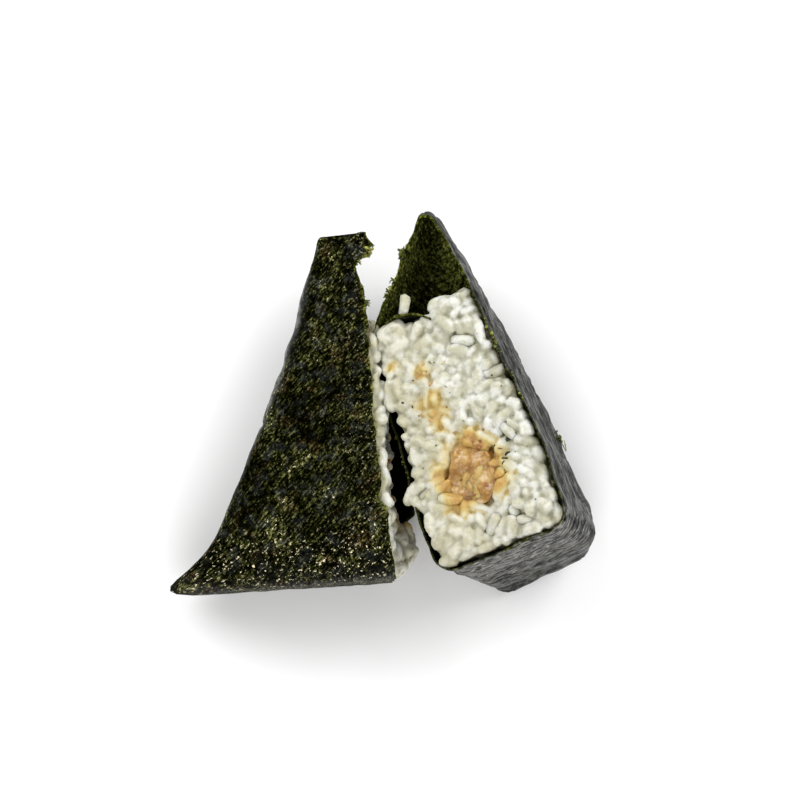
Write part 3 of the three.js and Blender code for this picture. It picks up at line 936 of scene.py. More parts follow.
class Finish:
    """A material being written: its nodes, and a few short words for the commonest of them."""

    def __init__(self, name, **constants):
        self.material = bpy.data.materials.new(name)
        self.material.use_nodes = True
        self.tree = self.material.node_tree
        self.shader = self.tree.nodes["Principled BSDF"]
        for socket, value in constants.items():
            self.shader.inputs[socket.replace("_", " ")].default_value = value

    def node(self, kind, settings=None, inputs=None, output=0):
        """Adds a node, sets it, then fills its sockets with values or wires."""
        made = self.tree.nodes.new(kind)
        for key, value in (settings or {}).items():
            if key == "stops":
                self.fill_ramp(made.color_ramp, value)
            else:
                setattr(made, key, value)
        for key, value in (inputs or {}).items():
            if isinstance(value, Wire):
                self.tree.links.new(value.socket, made.inputs[key])
            else:
                made.inputs[key].default_value = value
        return Wire(self, made.outputs[output])

    def fill_ramp(self, ramp, stops):
        while len(ramp.elements) > 1:
            ramp.elements.remove(ramp.elements[-1])
        ramp.elements[0].position = stops[0][0]
        ramp.elements[0].color = (*stops[0][1], 1)
        for place, colour in stops[1:]:
            ramp.elements.new(place).color = (*colour, 1)

    def mark(self, name, output="Fac"):
        return self.node("ShaderNodeAttribute", {"attribute_name": name}, output=output)

    def stretched(self, place, scale):
        return self.node("ShaderNodeMapping", None, {"Vector": place, "Scale": scale})

    def turned(self, place, angle):
        settings = {"rotation_type": "Z_AXIS"}
        return self.node("ShaderNodeVectorRotate", settings, {"Vector": place, "Angle": angle})

    def axis(self, place, number):
        """One of the three numbers of a place: 0 for depth, 1 for height, 2 for level."""
        return self.node("ShaderNodeSeparateXYZ", None, {0: place}, output=number)

    def cloud(self, place, scale, detail=3.0, roughness=0.55):
        """Soft noise from 0 to 1; `scale` is in humps for each millimetre of the food."""
        return self.node("ShaderNodeTexNoise", None, {
            "Vector": place, "Scale": scale, "Detail": detail, "Roughness": roughness,
        })

    def ramp(self, value, *stops):
        return self.node("ShaderNodeValToRGB", {"stops": stops}, {0: value})

    def span(self, value, low, high, new_low=0.0, new_high=1.0):
        """Carries a value from one range to another, clamped and eased."""
        return self.node("ShaderNodeMapRange", {"interpolation_type": "SMOOTHSTEP"}, {
            "Value": value, "From Min": low, "From Max": high, "To Min": new_low, "To Max": new_high,
        })

    def mix(self, share, first, second):
        return self.node("ShaderNodeMix", {"data_type": "RGBA"}, {0: share, 6: first, 7: second}, output=2)

    def bump(self, height, depth_mm, below=None):
        inputs = {"Height": height, "Distance": depth_mm * TO_METRES, "Strength": 1.0}
        if below is not None:
            inputs["Normal"] = below
        return self.node("ShaderNodeBump", None, inputs)

    def shade(self, **sockets):
        for socket, wire in sockets.items():
            self.tree.links.new(wire.socket, self.shader.inputs[socket.replace("_", " ")])
        return self.material


# %% [markdown]
# Nori is nearly black and olive green in patches of half a millimetre, where the weed lies thicker or thinner.
# Moist nori is smooth enough to shine along its wrinkles. Where the sheet is pulled round the halves, that
# shine is also painted into its colour as silver streaks: a painted reflection, brightest along the open
# half's base. Pale glints are painted near the base of the front. Its torn edges and its inner side are
# lighter, greener and dull, but below the top of the rice the inner side is painted near black as shade. Its
# place in the rice ball drives the pattern, so fibres run along the cut on both halves.

# %% Finish of the nori
STROKE = (2.2, 0.62, 1.0)  # humps for each millimetre across, along and through a fibre
STROKE_ANGLES = (-0.8, 0.4)


def make_nori_finish():
    nori = Finish("nori_finish", IOR=1.45, Specular_IOR_Level=0.0, Coat_Roughness=0.22, Coat_IOR=1.5)
    place = nori.mark("body", "Vector")
    edge, inside, shine = nori.mark("edge"), nori.mark("inside"), nori.mark("shine")
    weave = nori.cloud(place, 0.8, detail=5.0, roughness=0.7)
    specks = nori.cloud(place, 2.0, detail=3.0, roughness=0.7)
    patches = nori.cloud(place, 0.14, detail=2.0)
    drawn = nori.stretched(place, (1.9, 0.42, 0.42))
    wander = nori.node("ShaderNodeTexNoise", None, {"Vector": place, "Scale": 0.3}, output=1)
    wander = nori.stretched(wander, (0.9, 0.9, 0.9))
    warp = nori.node("ShaderNodeVectorMath", {"operation": "ADD"}, {0: drawn, 1: wander})
    fibres = nori.cloud(warp, 1.0, detail=5.0, roughness=0.65)
    strokes = [
        nori.cloud(nori.stretched(nori.turned(place, angle), STROKE), 1.0, detail=3.0, roughness=0.7)
        for angle in STROKE_ANGLES
    ]
    laid = strokes[0] * 0.42 + strokes[1] * 0.18 + specks * 0.25 + weave * 0.15 + (patches - 0.5) * 0.16
    mottle = nori.span(laid, 0.39, 0.63)
    outer = nori.ramp(
        mottle, (0.0, (0.0003, 0.0003, 0.0001)), (0.34, (0.0016, 0.0018, 0.0004)),
        (0.56, (0.0098, 0.0110, 0.0024)), (0.78, (0.040, 0.043, 0.0105)), (1.0, (0.18, 0.18, 0.065)),
    )
    haze = nori.span(nori.cloud(place, 0.33, detail=3.0, roughness=0.6), 0.50, 0.66)
    outer = nori.mix(haze * 0.75, outer, nori.ramp(
        mottle, (0.0, (0.0035, 0.0040, 0.0036)), (0.5, (0.016, 0.019, 0.0155)), (1.0, (0.10, 0.105, 0.085))))
    brown = nori.span(nori.cloud(place, 0.22, detail=3.0), 0.54, 0.66) * 0.55
    outer = nori.mix(brown, outer, nori.ramp(
        mottle, (0.0, (0.0004, 0.0003, 0.0002)), (0.52, (0.013, 0.008, 0.003)), (1.0, (0.17, 0.12, 0.05))))
    along = nori.axis(place, 1)
    inner = nori.ramp(
        mottle, (0.0, (0.002, 0.0024, 0.0005)), (0.30, (0.012, 0.014, 0.0025)),
        (0.70, (0.085, 0.095, 0.018)), (1.0, (0.30, 0.31, 0.08)),
    )
    # Below the top of the rice the inner side is painted near black, as the shade where it shows in the gap
    # between the halves.
    inner = nori.mix(nori.span(along, 56, 48), inner, (0.0012, 0.0014, 0.0005, 1))
    frayed = nori.ramp(
        mottle, (0.0, (0.004, 0.005, 0.0006)), (0.5, (0.05, 0.06, 0.005)), (1.0, (0.26, 0.27, 0.04)),
    )
    across = nori.axis(place, 0)
    # Painted reflection: where the nori is pulled, black and silver streaks are painted into its colour,
    # brightest along the base of the open half.
    reflection_at_base = nori.span(along, 5.0, 0.5) * nori.span(across, 30, 14, 0.1, 1.0)
    folds = nori.cloud(nori.stretched(warp, (0.34, 0.5, 0.5)), 1.0, detail=2.0, roughness=0.5) - 0.5
    sheen = nori.span(fibres + (specks - 0.5) * 0.2 + folds * 0.42 + reflection_at_base * 0.05, 0.465, 0.575)
    painted_reflection = nori.mix(reflection_at_base, (0.026, 0.027, 0.021, 1), nori.ramp(
        fibres, (0.46, (0.04, 0.04, 0.035)), (0.56, (0.18, 0.175, 0.156)), (0.65, (0.50, 0.487, 0.44))))
    # The shining parts take the painted black and silver streaks as their colour; the coat below adds the real
    # gloss.
    outer = nori.mix(shine * shine * 0.78, outer, nori.mix(sheen, (0.005, 0.0055, 0.003, 1), painted_reflection))
    torn = nori.span(edge + nori.cloud(place, 0.5) * 0.6, 0.85, 1.25) * nori.span(along, 50, 62, 0.25, 1.0)
    tone = nori.mix(torn, nori.mix(inside, outer, inner), frayed)
    # Painted glints: small pale golden specks painted into the colour near the base of the front, standing in
    # for highlights on the fibres.
    glint_region = nori.span(along, 15, 2) * 1.1 + nori.span(patches, 0.56, 0.66) + nori.span(across, 12, 4) * 0.3
    glint_pattern = nori.cloud(place, 1.5, detail=3.0, roughness=0.65) * 0.75 + strokes[0] * 0.25
    painted_glint = nori.span(glint_pattern, 0.59, 0.635)
    tone = nori.mix(painted_glint * glint_region * (1 - inside) * (1 - shine * 0.93), tone, (0.78, 0.70, 0.46, 1))
    rough = nori.span(fibres * 0.5 + weave * 0.5, 0.40, 0.60, 0.62, 0.36) + inside * 0.25
    rough = rough + shine * (0.12 - sheen * 0.3)
    coat = shine * (0.38 + sheen * 0.46) * nori.span(inside + torn * 0.5, 0.0, 0.6, 1.0, 0.02)
    crumple = nori.cloud(place, 0.6, detail=3.0)
    low = nori.bump(crumple * 0.5 + fibres * (0.3 + shine * 1.6), 0.5)
    fine = nori.bump(weave * 0.8 + specks * 0.45, 0.22, below=low)
    return nori.shade(Base_Color=tone, Roughness=rough, Coat_Weight=coat, Normal=fine)


nori_finish = make_nori_finish()

# %% [markdown]
# Steamed rice lets light in and scatters it, so its shadows are pale. The gaps and creases between its grains
# are painted a darker yellow-grey as shade. Over that lies a moist, uneven skin. The stain goes from straw
# through amber to warm brown.

# %% Finish of the rice
def make_rice_finish():
    rice = Finish(
        "rice_finish", IOR=1.38, Subsurface_Weight=0.75, Subsurface_Radius=(1.0, 0.9, 0.7),
        Subsurface_Scale=0.0024, Specular_IOR_Level=0.5, Coat_Roughness=0.15,
    )
    rice.shader.subsurface_method = "RANDOM_WALK"
    place = rice.mark("body", "Vector")
    stain, gap, crease = rice.mark("stain"), rice.mark("gap"), rice.mark("crease")
    chalk = rice.cloud(place, 0.30, detail=3.0)
    white = rice.mix(rice.span(chalk, 0.40, 0.60), (0.70, 0.70, 0.645, 1), (0.51, 0.50, 0.385, 1))
    # Painted shade: the rice turns darker yellow-grey the deeper it lies between the grains.
    clean = rice.mix(gap * 0.9, white, (0.36, 0.34, 0.20, 1))
    # Painted shade: creases between the grains are painted darker; the same crease mark also draws thin sauce
    # into them.
    clean = rice.mix(crease * 0.55, clean, (0.36, 0.35, 0.24, 1))
    level = rice.axis(place, 2)
    height = rice.axis(place, 1)
    clean = rice.mix(rice.span(level, 20, 4) * 0.30, clean, (0.52, 0.48, 0.30, 1))
    clean = rice.mix(rice.span(height, 13, 2) * 0.25, clean, (0.48, 0.45, 0.32, 1))
    mottled = stain + (rice.cloud(place, 0.8, detail=3.0) - 0.5) * rice.span(stain, 0.05, 0.4) * 0.5
    soaked = rice.ramp(
        mottled, (0.0, (0.64, 0.62, 0.50)), (0.2, (0.61, 0.52, 0.28)), (0.4, (0.55, 0.41, 0.14)),
        (0.66, (0.50, 0.31, 0.085)), (1.0, (0.42, 0.23, 0.055)),
    )
    tone = rice.mix(rice.span(mottled, 0.03, 0.22), clean, soaked)
    skin = rice.cloud(place, 1.6, detail=3.0)
    gloss = rice.span(skin, 0.3, 0.7, 0.26, 0.52)
    wet = rice.span(skin + stain * 0.6, 0.45, 1.1, 0.05, 0.5)
    relief = rice.bump(skin * 0.7 + rice.cloud(place, 0.8) * 0.8, 0.30)
    return rice.shade(Base_Color=tone, Roughness=gloss, Coat_Weight=wet, Normal=relief)


rice_finish = make_rice_finish()

# %% [markdown]
# Where steamed grains touch they melt into one another. So most of the grains are merged with the core
# into one skin, which is softened where they meet. Only a few of the outermost are left whole and separate,
# on top of it.

# %% Merging grains into one skin
GRAINS_IN_A_HALF = 470
VOXEL = 0.34
ROUGHNESS_DEPTH = 0.18
ROUGHNESS_WAVELENGTH = 1.6


def merge_pieces(name, pieces, voxel_mm, soften):
    """One closed skin round several pieces, with its creases softened and its hidden hollows dropped."""
    work = bmesh.new()
    for piece in pieces:
        work.from_mesh(piece.data)
        bpy.data.objects.remove(piece)
    mesh = bpy.data.meshes.new(name + "_parts")
    work.to_mesh(mesh)
    work.free()
    holder = add_object(name + "_holder", mesh)
    merge = holder.modifiers.new("merge", "REMESH")
    merge.mode = "VOXEL"
    merge.voxel_size = voxel_mm * TO_METRES
    smooth = holder.modifiers.new("soften", "SMOOTH")
    smooth.iterations = soften
    result = made_by_modifiers(holder)
    drop_hollows(result)
    roughen(result, ROUGHNESS_DEPTH, ROUGHNESS_WAVELENGTH)
    smooth_faces(result)
    print(name, "faces:", len(result.polygons))
    return add_object(name, result)


def roughen(mesh, depth_mm, wavelength):
    """Moves every point of a mesh a little along its normal."""
    place, normal = read_points(mesh), read_points(mesh, "normal")
    moved = field(place / TO_METRES, wavelength, 91) + 0.6 * field(place / TO_METRES, wavelength / 2, 92)
    place += normal * moved[:, None].astype(np.float32) * depth_mm * TO_METRES
    mesh.vertices.foreach_set("co", place.ravel())
    mesh.update()


def drop_hollows(mesh):
    """Keeps only the largest connected skin of a mesh."""
    work = bmesh.new()
    work.from_mesh(mesh)
    islands = []
    seen = set()
    for start in work.verts:
        if start in seen:
            continue
        island, queue = [], [start]
        seen.add(start)
        while queue:
            vertex = queue.pop()
            island.append(vertex)
            for edge in vertex.link_edges:
                other = edge.other_vert(vertex)
                if other not in seen:
                    seen.add(other)
                    queue.append(other)
        islands.append(island)
    islands.sort(key=len)
    for island in islands[:-1]:
        bmesh.ops.delete(work, geom=island, context="VERTS")
    work.to_mesh(mesh)
    work.free()


def seats_of(shape, centre, axis, length, width, rng):
    """Seats on the table for grains given in the rice ball's own frame."""
    turned = turn_to_table(axis, shape)
    table = to_table(settle(centre, shape), shape)
    seats = []
    for place, along, reach, girth in zip(table, turned, length, width):
        size = (reach * 1.06, girth * rng.uniform(1.08, 1.22), girth * rng.uniform(1.0, 1.2))
        seats.append((place, along, rng.uniform(0, 2 * np.pi), size, int(rng.integers(GRAIN_KINDS))))
    return seats


# %% Rice of each half
LOOSE_SHARE = 0.07
STREWN_SEED = 41


def strewn_grains(rng, count, middle, spread, proud, length, width):
    """Grains round a middle as (height, level, proud, along, length, width), in mm on the cut face."""
    grains = []
    for _ in range(count):
        place = rng.normal(middle, spread)
        along = (*rng.normal(size=2), rng.uniform(0, 0.2))
        grains.append((*place, proud, along, rng.uniform(*length), rng.uniform(*width)))
    return grains


grain_rng = np.random.default_rng(STREWN_SEED)
MERGED_GRAINS = [
    *strewn_grains(grain_rng, 2, (RICE_TOP, 19), (1.5, 1.0), 0.2, (5.0, 5.4), (2.7, 3.0)),
    *strewn_grains(grain_rng, 2, (16, -1.5), (2.0, 0.5), -1.1, (5.4, 6.2), (2.6, 2.9)),
    *strewn_grains(grain_rng, 5, (46, 4), (4.0, 2.0), 0.3, (6.0, 8.0), (3.2, 3.7)),
]
ON_FLAP = (FLAP.start_height + 5, (FLAP.start + FLAP.end) / 2 + 2, 1.0, (0.8, 0.5, 0.2), 5.2, 2.4)
IN_FILLING = strewn_grains(
    grain_rng, 4, (POCKET.height, POCKET.level), (4.2, 3.4), -0.75, (4.0, 4.8), (2.5, 2.9),
)


def placed_grains(told, shape):
    """Centres, axes, lengths and widths of grains given by their place on the cut face."""
    centre, axis, length, width = [], [], [], []
    for height, level, proud, along, reach, girth in told:
        face = -float(proud_at(np.array(height), np.array(level), shape))
        centre.append((face + girth * 0.3 - proud + shape.set_back, height, level))
        direction = np.array([-along[2], along[0], along[1]])
        axis.append(direction / np.linalg.norm(direction))
        length.append(reach)
        width.append(girth)
    return np.array(centre).reshape(-1, 3), np.array(axis).reshape(-1, 3), np.array(length), np.array(width)


def rice_of(shape, core):
    rng = np.random.default_rng(shape.seed + 60)
    centre, axis, length, width = pack_grains(shape, GRAINS_IN_A_HALF)
    depths = np.array(depth_in_rice(centre, shape))
    outer = np.minimum(depths[0], depths[1]) < width * 0.75
    over_filling = (pocket_share(centre[:, 1], centre[:, 2], 0.97) > 0) & (centre[:, 0] < 6)
    loose = outer & ~over_filling & (rng.random(len(centre)) < LOOSE_SHARE)
    kept = ~over_filling & ~loose
    seats = seats_of(shape, centre[kept], axis[kept], length[kept], width[kept], rng)
    if shape is RIGHT:
        seats += seats_of(shape, *placed_grains(MERGED_GRAINS, shape), rng)
    bed = set_on_seats(f"rice_bed_{shape.name}", seats, grain_shapes, rice_finish)
    mass = merge_pieces(f"rice_mass_{shape.name}", [core, bed], VOXEL, 1)
    seats = seats_of(shape, centre[loose], axis[loose], length[loose], width[loose], rng)
    told = [ON_FLAP, *IN_FILLING] if shape is RIGHT else IN_FILLING
    seats += seats_of(shape, *placed_grains(told, shape), rng)
    grains = set_on_seats(f"rice_grains_{shape.name}", seats, grain_shapes, rice_finish)
    for piece in (mass, grains):
        crease = crease_of(piece.data) * (piece is mass)
        add_marks(
            piece, shape, gap=lambda local: gap_at(local, shape), crease=lambda local: crease,
            stain=lambda local: soak_creases(stain_at(local, shape), crease),
        )
    mass.data.materials.clear()
    mass.data.materials.append(rice_finish)
    return mass, grains


def crease_of(mesh):
    """1 where a skin folds inwards between two grains, 0 where it bulges."""
    count = len(mesh.vertices)
    edges = np.empty(len(mesh.edges) * 2, np.int32)
    mesh.edges.foreach_get("vertices", edges)
    edges = edges.reshape(-1, 2)
    place, normal = read_points(mesh) / TO_METRES, read_points(mesh, "normal")
    ends = np.concatenate([edges[:, 0], edges[:, 1]])
    others = np.concatenate([edges[:, 1], edges[:, 0]])
    number = np.maximum(np.bincount(ends, minlength=count), 1)

    def average(values):
        """The mean of each point's neighbours."""
        return np.bincount(ends, values[others], count) / number

    around = np.stack([average(place[:, axis]) for axis in range(3)], axis=-1)
    folded = ((around - place) * normal).sum(axis=1)
    for _ in range(2):
        folded = 0.5 * folded + 0.5 * average(folded)
    return smoothstep(folded, -0.01, 0.035)


def soak_creases(stain, crease):
    """Thin sauce shows only between the grains, thick sauce on them as well."""
    thick = smoothstep(stain, 0.25, 0.6)
    return stain * (thick + (1 - thick) * (0.5 + 0.9 * crease))


def gap_at(local, shape):
    """How far a point lies down between the grains, from 0 at their tops to 1."""
    depths = np.array(depth_in_rice(local, shape))
    return smoothstep(np.minimum(depths[0], depths[1]), 0.3, 2.3)


left_rice = rice_of(LEFT, cores[0])
right_rice = rice_of(RIGHT, cores[1])

# %% [markdown]
# ## The filling
# A spoonful of savoury paste was closed into the rice and cut through with it. It shows on both cut faces
# as a brown, jelly-like patch with grains stuck in it, so it is a lumpy body with one cut side in the
# rice's pocket.

# %% Filling
FILLING_ROWS = 60
FILLING_COLUMNS = 90
FILLING_SET = 0.55
FILLING_DEPTH = 9.0
RIM_DIP = 1.6


def make_filling(shape):
    polar = np.linspace(0, np.pi, FILLING_ROWS)[:, None]
    turn = np.linspace(0, 2 * np.pi, FILLING_COLUMNS, endpoint=False)[None, :]
    y = POCKET.height + (POCKET.half_height + 0.5) * np.sin(polar) * np.cos(turn)
    z = POCKET.level + (POCKET.half_level + 0.5) * np.sin(polar) * np.sin(turn)
    x = -FILLING_DEPTH * np.cos(polar) + 0 * turn
    points = np.stack([x, y, z], axis=-1)
    relief = 0.8 * field(points * [0, 1, 1], 2.8, 81) + 0.3 * field(points * [0, 1, 1], 1.1, 82)
    share = pocket_share(y, z, 1.1)
    plain = FILLING_SET + shape.set_back - proud_at(y, z, shape)
    face = plain - relief * smoothstep(share, 0, 0.3) + RIM_DIP * smoothstep(share, 0.35, 0)
    points[..., 0] = np.maximum(points[..., 0], face)
    local = points.reshape(-1, 3)
    faces = grid_faces(FILLING_ROWS, FILLING_COLUMNS, closed=True)
    table = to_table(settle(local, shape), shape)
    return finish_mesh(make_piece(f"filling_mass_{shape.name}", table, faces, None, {"body": local}))


fillings = [make_filling(LEFT), make_filling(RIGHT)]

# %% Finish of the filling
def make_filling_finish():
    paste = Finish(
        "filling_finish", IOR=1.42, Subsurface_Weight=0.6, Subsurface_Radius=(1.0, 0.72, 0.5),
        Subsurface_Scale=0.0018, Coat_Weight=0.6, Coat_Roughness=0.12, Roughness=0.35,
    )
    place = paste.mark("body", "Vector")
    blots = paste.cloud(place, 0.30, detail=4.0) * 0.7 + paste.cloud(place, 1.2, detail=3.0) * 0.3
    tone = paste.ramp(
        paste.span(blots, 0.3, 0.7), (0.0, (0.26, 0.12, 0.024)), (0.35, (0.36, 0.185, 0.040)),
        (0.7, (0.45, 0.265, 0.070)), (1.0, (0.57, 0.39, 0.15)),
    )
    relief = paste.bump(paste.cloud(place, 1.5, detail=4.0), 0.25)
    return paste.shade(Base_Color=tone, Normal=relief)


filling_finish = make_filling_finish()

# %% [markdown]
# ## Flakes and crumbs
# Bits of the filling and crumbs of nori lie on the cut face. Each lands on whatever rice is really there,
# so its seat is found by dropping a straight line on the cut face from outside.

# %% Landing bits on the cut face
CRUMB_KINDS = 4
START_OUTSIDE = -12.0


def landing_of(shape, *pieces):
    """A rule that finds where a bit lands on the cut face, given its height and level."""
    graph = bpy.context.evaluated_depsgraph_get()
    trees = [BVHTree.FromObject(piece, graph) for piece in pieces]
    inward = Vector(turn_to_table([1, 0, 0], shape).tolist())

    def landing(height, level, sunk=0.0):
        start = Vector((to_table([START_OUTSIDE, height, level], shape) * TO_METRES).tolist())
        hits = [tree.ray_cast(start, inward) for tree in trees]
        hits = [hit for hit in hits if hit[0] is not None]
        if not hits:
            return None
        place, normal, _, _ = min(hits, key=lambda hit: hit[3])
        return np.array(place + inward * sunk * TO_METRES) / TO_METRES, np.array(normal)

    return landing


def bits_on_face(landing, spots, rng, flat, sunk):
    """Seats of thin bits lying on the rice, from their height, level and length; `flat` is a range in mm."""
    seats = []
    for height, level, reach in spots:
        found = landing(height, level, sunk)
        if found is None:
            continue
        place, normal = found
        along = np.cross(normal, rng.normal(size=3))
        girth = reach * rng.uniform(0.6, 1.0)
        spin = rng.uniform(0, 2 * np.pi)
        size = (reach, girth, rng.uniform(*flat))
        seats.append((place, along / np.linalg.norm(along), spin, size, int(rng.integers(CRUMB_KINDS))))
    return seats


# %% Shapes of crumbs and flakes
CRUMB_RINGS = 6
CRUMB_SIDES = 9


def make_crumb(kind, jag, thin):
    """One ragged crumb of unit size: a small ball pulled about and flattened."""
    rng = np.random.default_rng(200 + kind)
    polar = np.linspace(0, np.pi, CRUMB_RINGS)[:, None]
    turn = np.linspace(0, 2 * np.pi, CRUMB_SIDES, endpoint=False)[None, :]
    reach = 0.5 * (1 + jag * rng.uniform(-1, 1, (CRUMB_RINGS, CRUMB_SIDES)))
    reach[0] = reach[-1] = 0.5
    x = reach * np.cos(polar)
    y = reach * np.sin(polar) * np.cos(turn)
    z = reach * np.sin(polar) * np.sin(turn) * thin
    curl = 0.25 * (x ** 2 + y ** 2)
    points = np.stack([x, y, z + curl * jag], axis=-1)
    faces = grid_faces(CRUMB_RINGS, CRUMB_SIDES, closed=True)
    return finish_mesh(make_piece(f"crumb_shape_{kind}", points / TO_METRES, faces), 1)


nori_crumb_shapes = [make_crumb(kind, 0.28, 0.4) for kind in range(CRUMB_KINDS)]
bit_shapes = [make_crumb(kind + CRUMB_KINDS, 0.25, 0.8) for kind in range(CRUMB_KINDS)]

# %% Where the bits lie
def scatter(rng, count, low, high, size):
    """Spots anywhere between two corners of the cut face, as (height, level, length)."""
    return [(*(rng.uniform(a, b) for a, b in zip(low, high)), rng.uniform(*size)) for _ in range(count)]


def gather(rng, count, middle, spread, size):
    """Spots round a middle of the cut face, as (height, level, length)."""
    spots = rng.normal(middle, spread, (count, 2))
    return [(height, level, rng.uniform(*size)) for height, level in spots]


BIT_SEED = 5


def make_bits():
    """Dark specks, red-brown flakes and amber drops on the two cut faces."""
    rng = np.random.default_rng(BIT_SEED)
    on_right = landing_of(RIGHT, *right_rice, fillings[1])
    on_left = landing_of(LEFT, *left_rice, fillings[0])
    specks = gather(rng, 6, (19, 22), (3, 0.7), (0.8, 1.5))
    specks += scatter(rng, 12, (6, 3), (50, 27), (0.4, 1.0)) + scatter(rng, 14, (3, 3), (50, 27), (0.25, 0.5))
    specks = bits_on_face(on_right, specks, rng, (0.4, 0.6), 0.0)
    specks += bits_on_face(on_left, scatter(rng, 16, (8, 4), (50, 24), (0.3, 0.9)), rng, (0.4, 0.6), 0.0)
    flecks = gather(rng, 8, (21, 17.5), (2, 1.6), (1.0, 1.8)) + gather(rng, 3, (12, 15), (2, 1.5), (0.8, 1.5))
    red = bits_on_face(on_right, flecks, rng, (0.7, 1.2), 0.15)
    red += bits_on_face(on_left, flecks[:3], rng, (0.7, 1.2), 0.15)
    drops = gather(rng, 7, (42, 10), (2.5, 2.8), (1.0, 1.9)) + gather(rng, 6, (31, 8), (2.0, 2.2), (1.0, 1.5))
    amber = bits_on_face(on_right, drops, rng, (0.5, 0.9), 0.25)
    pieces = [
        set_on_seats("nori_crumbs", specks, nori_crumb_shapes, crumb_finish),
        set_on_seats("filling_flakes", red, bit_shapes, flake_finish),
        set_on_seats("sauce_beads", amber, bit_shapes, bead_finish),
    ]
    for piece in pieces:
        add_marks(piece, RIGHT)
    return pieces


# %% Finishes of the bits
def make_bit_finish(name, scale, *stops, **constants):
    bit = Finish(name, **constants)
    place = bit.mark("body", "Vector")
    tone = bit.ramp(bit.span(bit.cloud(place, scale, detail=3.0), 0.3, 0.7), *stops)
    return bit.shade(Base_Color=tone, Normal=bit.bump(bit.cloud(place, scale * 3), 0.08))


crumb_finish = make_bit_finish(
    "crumb_finish", 0.6, (0.0, (0.006, 0.007, 0.002)), (0.6, (0.03, 0.035, 0.008)), (1.0, (0.16, 0.18, 0.03)),
    Roughness=0.5,
)
frayed_finish = make_bit_finish(
    "frayed_finish", 0.8, (0.0, (0.015, 0.018, 0.002)), (0.45, (0.10, 0.115, 0.008)),
    (1.0, (0.36, 0.36, 0.05)), Roughness=0.6,
)
flake_finish = make_bit_finish(
    "flake_finish", 0.7, (0.0, (0.17, 0.050, 0.010)), (0.5, (0.34, 0.13, 0.024)), (1.0, (0.50, 0.26, 0.07)),
    Roughness=0.35, Coat_Weight=0.4, Subsurface_Weight=0.3, Subsurface_Scale=0.0008,
)
bead_finish = make_bit_finish(
    "bead_finish", 0.7, (0.0, (0.44, 0.24, 0.06)), (0.5, (0.56, 0.36, 0.12)), (1.0, (0.66, 0.50, 0.24)),
    Roughness=0.3, Coat_Weight=0.5, Subsurface_Weight=0.5, Subsurface_Scale=0.001,
)
bits = make_bits()

# %% [markdown]
# The sheet is torn, not cut, so its edges end in small ragged flakes of thin weed that let light through.

# %% Torn flakes at the edges of the nori
FLAKES_ALONG_EDGE = 34
FLAKES_IN_FRINGE = 24
FLAKE_THICKNESS = 0.35
FRAY_SEED = 9


def fray_spots():
    """(half, edge, height, spread, count, size): a thin run of flakes on each edge, more in its fringes."""
    spots = []
    for shape in (LEFT, RIGHT):
        for edge in ("front", "back"):
            spots.append((shape, edge + "_edge", TIP_HEIGHT / 2, TIP_HEIGHT / 4, FLAKES_ALONG_EDGE, 0.6))
            for height, depth, spread in getattr(shape, edge + "_fringe"):
                spots.append((shape, edge + "_edge", height, spread, FLAKES_IN_FRINGE, 0.6 + 0.4 * depth))
    return spots


def make_fray():
    rng = np.random.default_rng(FRAY_SEED)
    seats = []
    for shape, edge, middle, spread, count, size in fray_spots():
        line = getattr(shape, edge)
        outward = -turn_to_table([1, 0, 0], shape)
        for height in rng.normal(middle, spread * 0.6, count):
            row = int(np.abs(shape.heights - height).argmin())
            reach = size * rng.uniform(0.5, 1.3)
            place = line[row] + outward * rng.uniform(-0.4, 0.45) * size + rng.normal(size=3) * 0.18
            along = outward + rng.normal(size=3) * 0.7
            spin = rng.uniform(0, 2 * np.pi)
            flake = (reach, reach * rng.uniform(0.35, 0.8), FLAKE_THICKNESS)
            seat = (place, along / np.linalg.norm(along), spin, flake, int(rng.integers(CRUMB_KINDS)))
            if place[2] > reach:  # flakes that would reach under the table are left out
                seats.append(seat)
    piece = set_on_seats("nori_fray", seats, nori_crumb_shapes, frayed_finish)
    add_marks(piece, RIGHT)
    return piece


fray = make_fray()


SIDE_CRUMB = (39.9, -6.8)  # where it clings, seen from above
SIDE_CRUMB_SEED = 14


def make_side_crumb():
    """A green crumb and two stray fibres stuck to the slanting side of the open half."""
    rng = np.random.default_rng(SIDE_CRUMB_SEED)
    skin = read_points(sheets[1].data) / TO_METRES
    near = skin[np.linalg.norm(skin[:, :2] - SIDE_CRUMB, axis=1) < 0.6]
    top = near[near[:, 2].argmax()]
    seats = []
    for _ in range(9):
        place = top + rng.normal(size=3) * [0.5, 0.9, 0.4]
        axis, spin = rng.normal(size=3), rng.uniform(0, 6)
        seats.append((place, axis, spin, (1.1, 0.7, 0.5), int(rng.integers(CRUMB_KINDS))))
    for lift, along in ((0.9, (0.5, -1.0, 0.2)), (1.4, (0.15, -1.0, 0.5))):
        seats.append((top + [lift, -1.6, 0.2], along, 0.0, (3.0, 0.22, 0.22), 0))
    piece = set_on_seats("nori_side_crumb", seats, nori_crumb_shapes, frayed_finish)
    add_marks(piece, RIGHT)
    return piece


side_crumb = make_side_crumb()

# %% [markdown]
# ## The stage
# A pale floor, soft boxes of light at the sides and a dim sky, so that dark nori stays dark where it
# faces up and shines where it is seen along its surface.

# %% Stage, lights and camera
def make_floor():
    half = 1.5
    corners = [(-half, -half, 0), (half, -half, 0), (half, half, 0), (-half, half, 0)]
    mesh = bpy.data.meshes.new("floor")
    mesh.from_pydata(corners, [], [(0, 1, 2, 3)])
    paint = Finish("floor_white", Base_Color=(0.97, 0.97, 0.97, 1), Roughness=0.9, Specular_IOR_Level=0.2)
    mesh.materials.append(paint.material)
    add_object("floor", mesh)


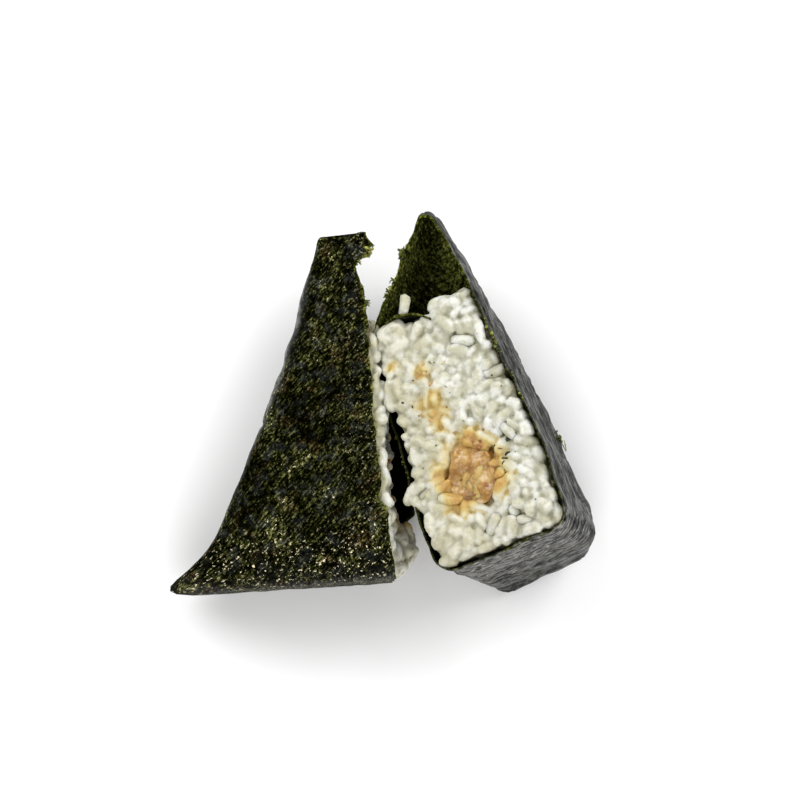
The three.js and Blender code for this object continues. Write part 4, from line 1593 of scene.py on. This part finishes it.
def add_box_light(name, azimuth, elevation, distance, size, power):
    """A square soft box that looks at the middle of the object."""
    turn, rise = np.radians(azimuth), np.radians(elevation)
    towards = Vector((np.sin(turn) * np.cos(rise), np.cos(turn) * np.cos(rise), np.sin(rise)))
    light = bpy.data.lights.new(name, "AREA")
    light.size = size
    light.energy = power
    lamp = add_object(name, light)
    lamp.location = towards * distance
    lamp.rotation_euler = towards.to_track_quat("Z", "Y").to_euler()


def make_sky(strength):
    world = bpy.data.worlds.new("sky")
    world.use_nodes = True
    background = world.node_tree.nodes["Background"]
    background.inputs["Color"].default_value = (1, 1, 1, 1)
    background.inputs["Strength"].default_value = strength
    bpy.context.scene.world = world


CAMERA_RISE = 84.0
CAMERA_TARGET = (4.1, 1.5, 15)
CAMERA_DISTANCE = 0.56
CAMERA_LENS = 112.9


def make_camera():
    """The camera looks down on the rice ball from just below its base."""
    rise = np.radians(CAMERA_RISE)
    target = Vector(CAMERA_TARGET) * TO_METRES
    towards = Vector((0, -np.cos(rise), np.sin(rise)))
    view = bpy.data.cameras.new("camera")
    view.lens = CAMERA_LENS
    view.sensor_width = 36
    eye = add_object("camera", view)
    eye.location = target + towards * CAMERA_DISTANCE
    eye.rotation_euler = towards.to_track_quat("Z", "Y").to_euler()
    bpy.context.scene.camera = eye


make_floor()
add_box_light("box_back_left", azimuth=-50, elevation=40, distance=0.8, size=0.5, power=3.9)
add_box_light("box_back_right", azimuth=55, elevation=38, distance=0.8, size=0.5, power=3.7)
add_box_light("box_front", azimuth=180, elevation=42, distance=0.9, size=0.7, power=3.7)
make_sky(0.48)
make_camera()
bpy.context.scene.view_settings.view_transform = "Standard"

# %% [markdown]
# ## Riding, replacing and closing
# Every piece rides the one body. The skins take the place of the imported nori, the merged rice and its
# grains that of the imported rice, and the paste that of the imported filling.

# %% Riding and replacing
for shape in (*grain_shapes, *nori_crumb_shapes, *bit_shapes):
    bpy.data.objects.remove(shape)


def dress(piece, finish=None, node=None):
    if finish is not None:
        piece.data.materials.clear()
        piece.data.materials.append(finish)
    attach(piece, "root")
    if node is not None:
        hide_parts(node)


for index, (shape, rice) in enumerate(((LEFT, left_rice), (RIGHT, right_rice))):
    dress(sheets[index], nori_finish, f"nori_{shape.name}")
    dress(fillings[index], filling_finish, f"filling_{shape.name}")
    for piece in rice:
        dress(piece, None, f"rice_{shape.name}")
dress(flap, nori_finish, "nori_flap")
for piece in (*bits, fray, side_crumb):
    dress(piece)
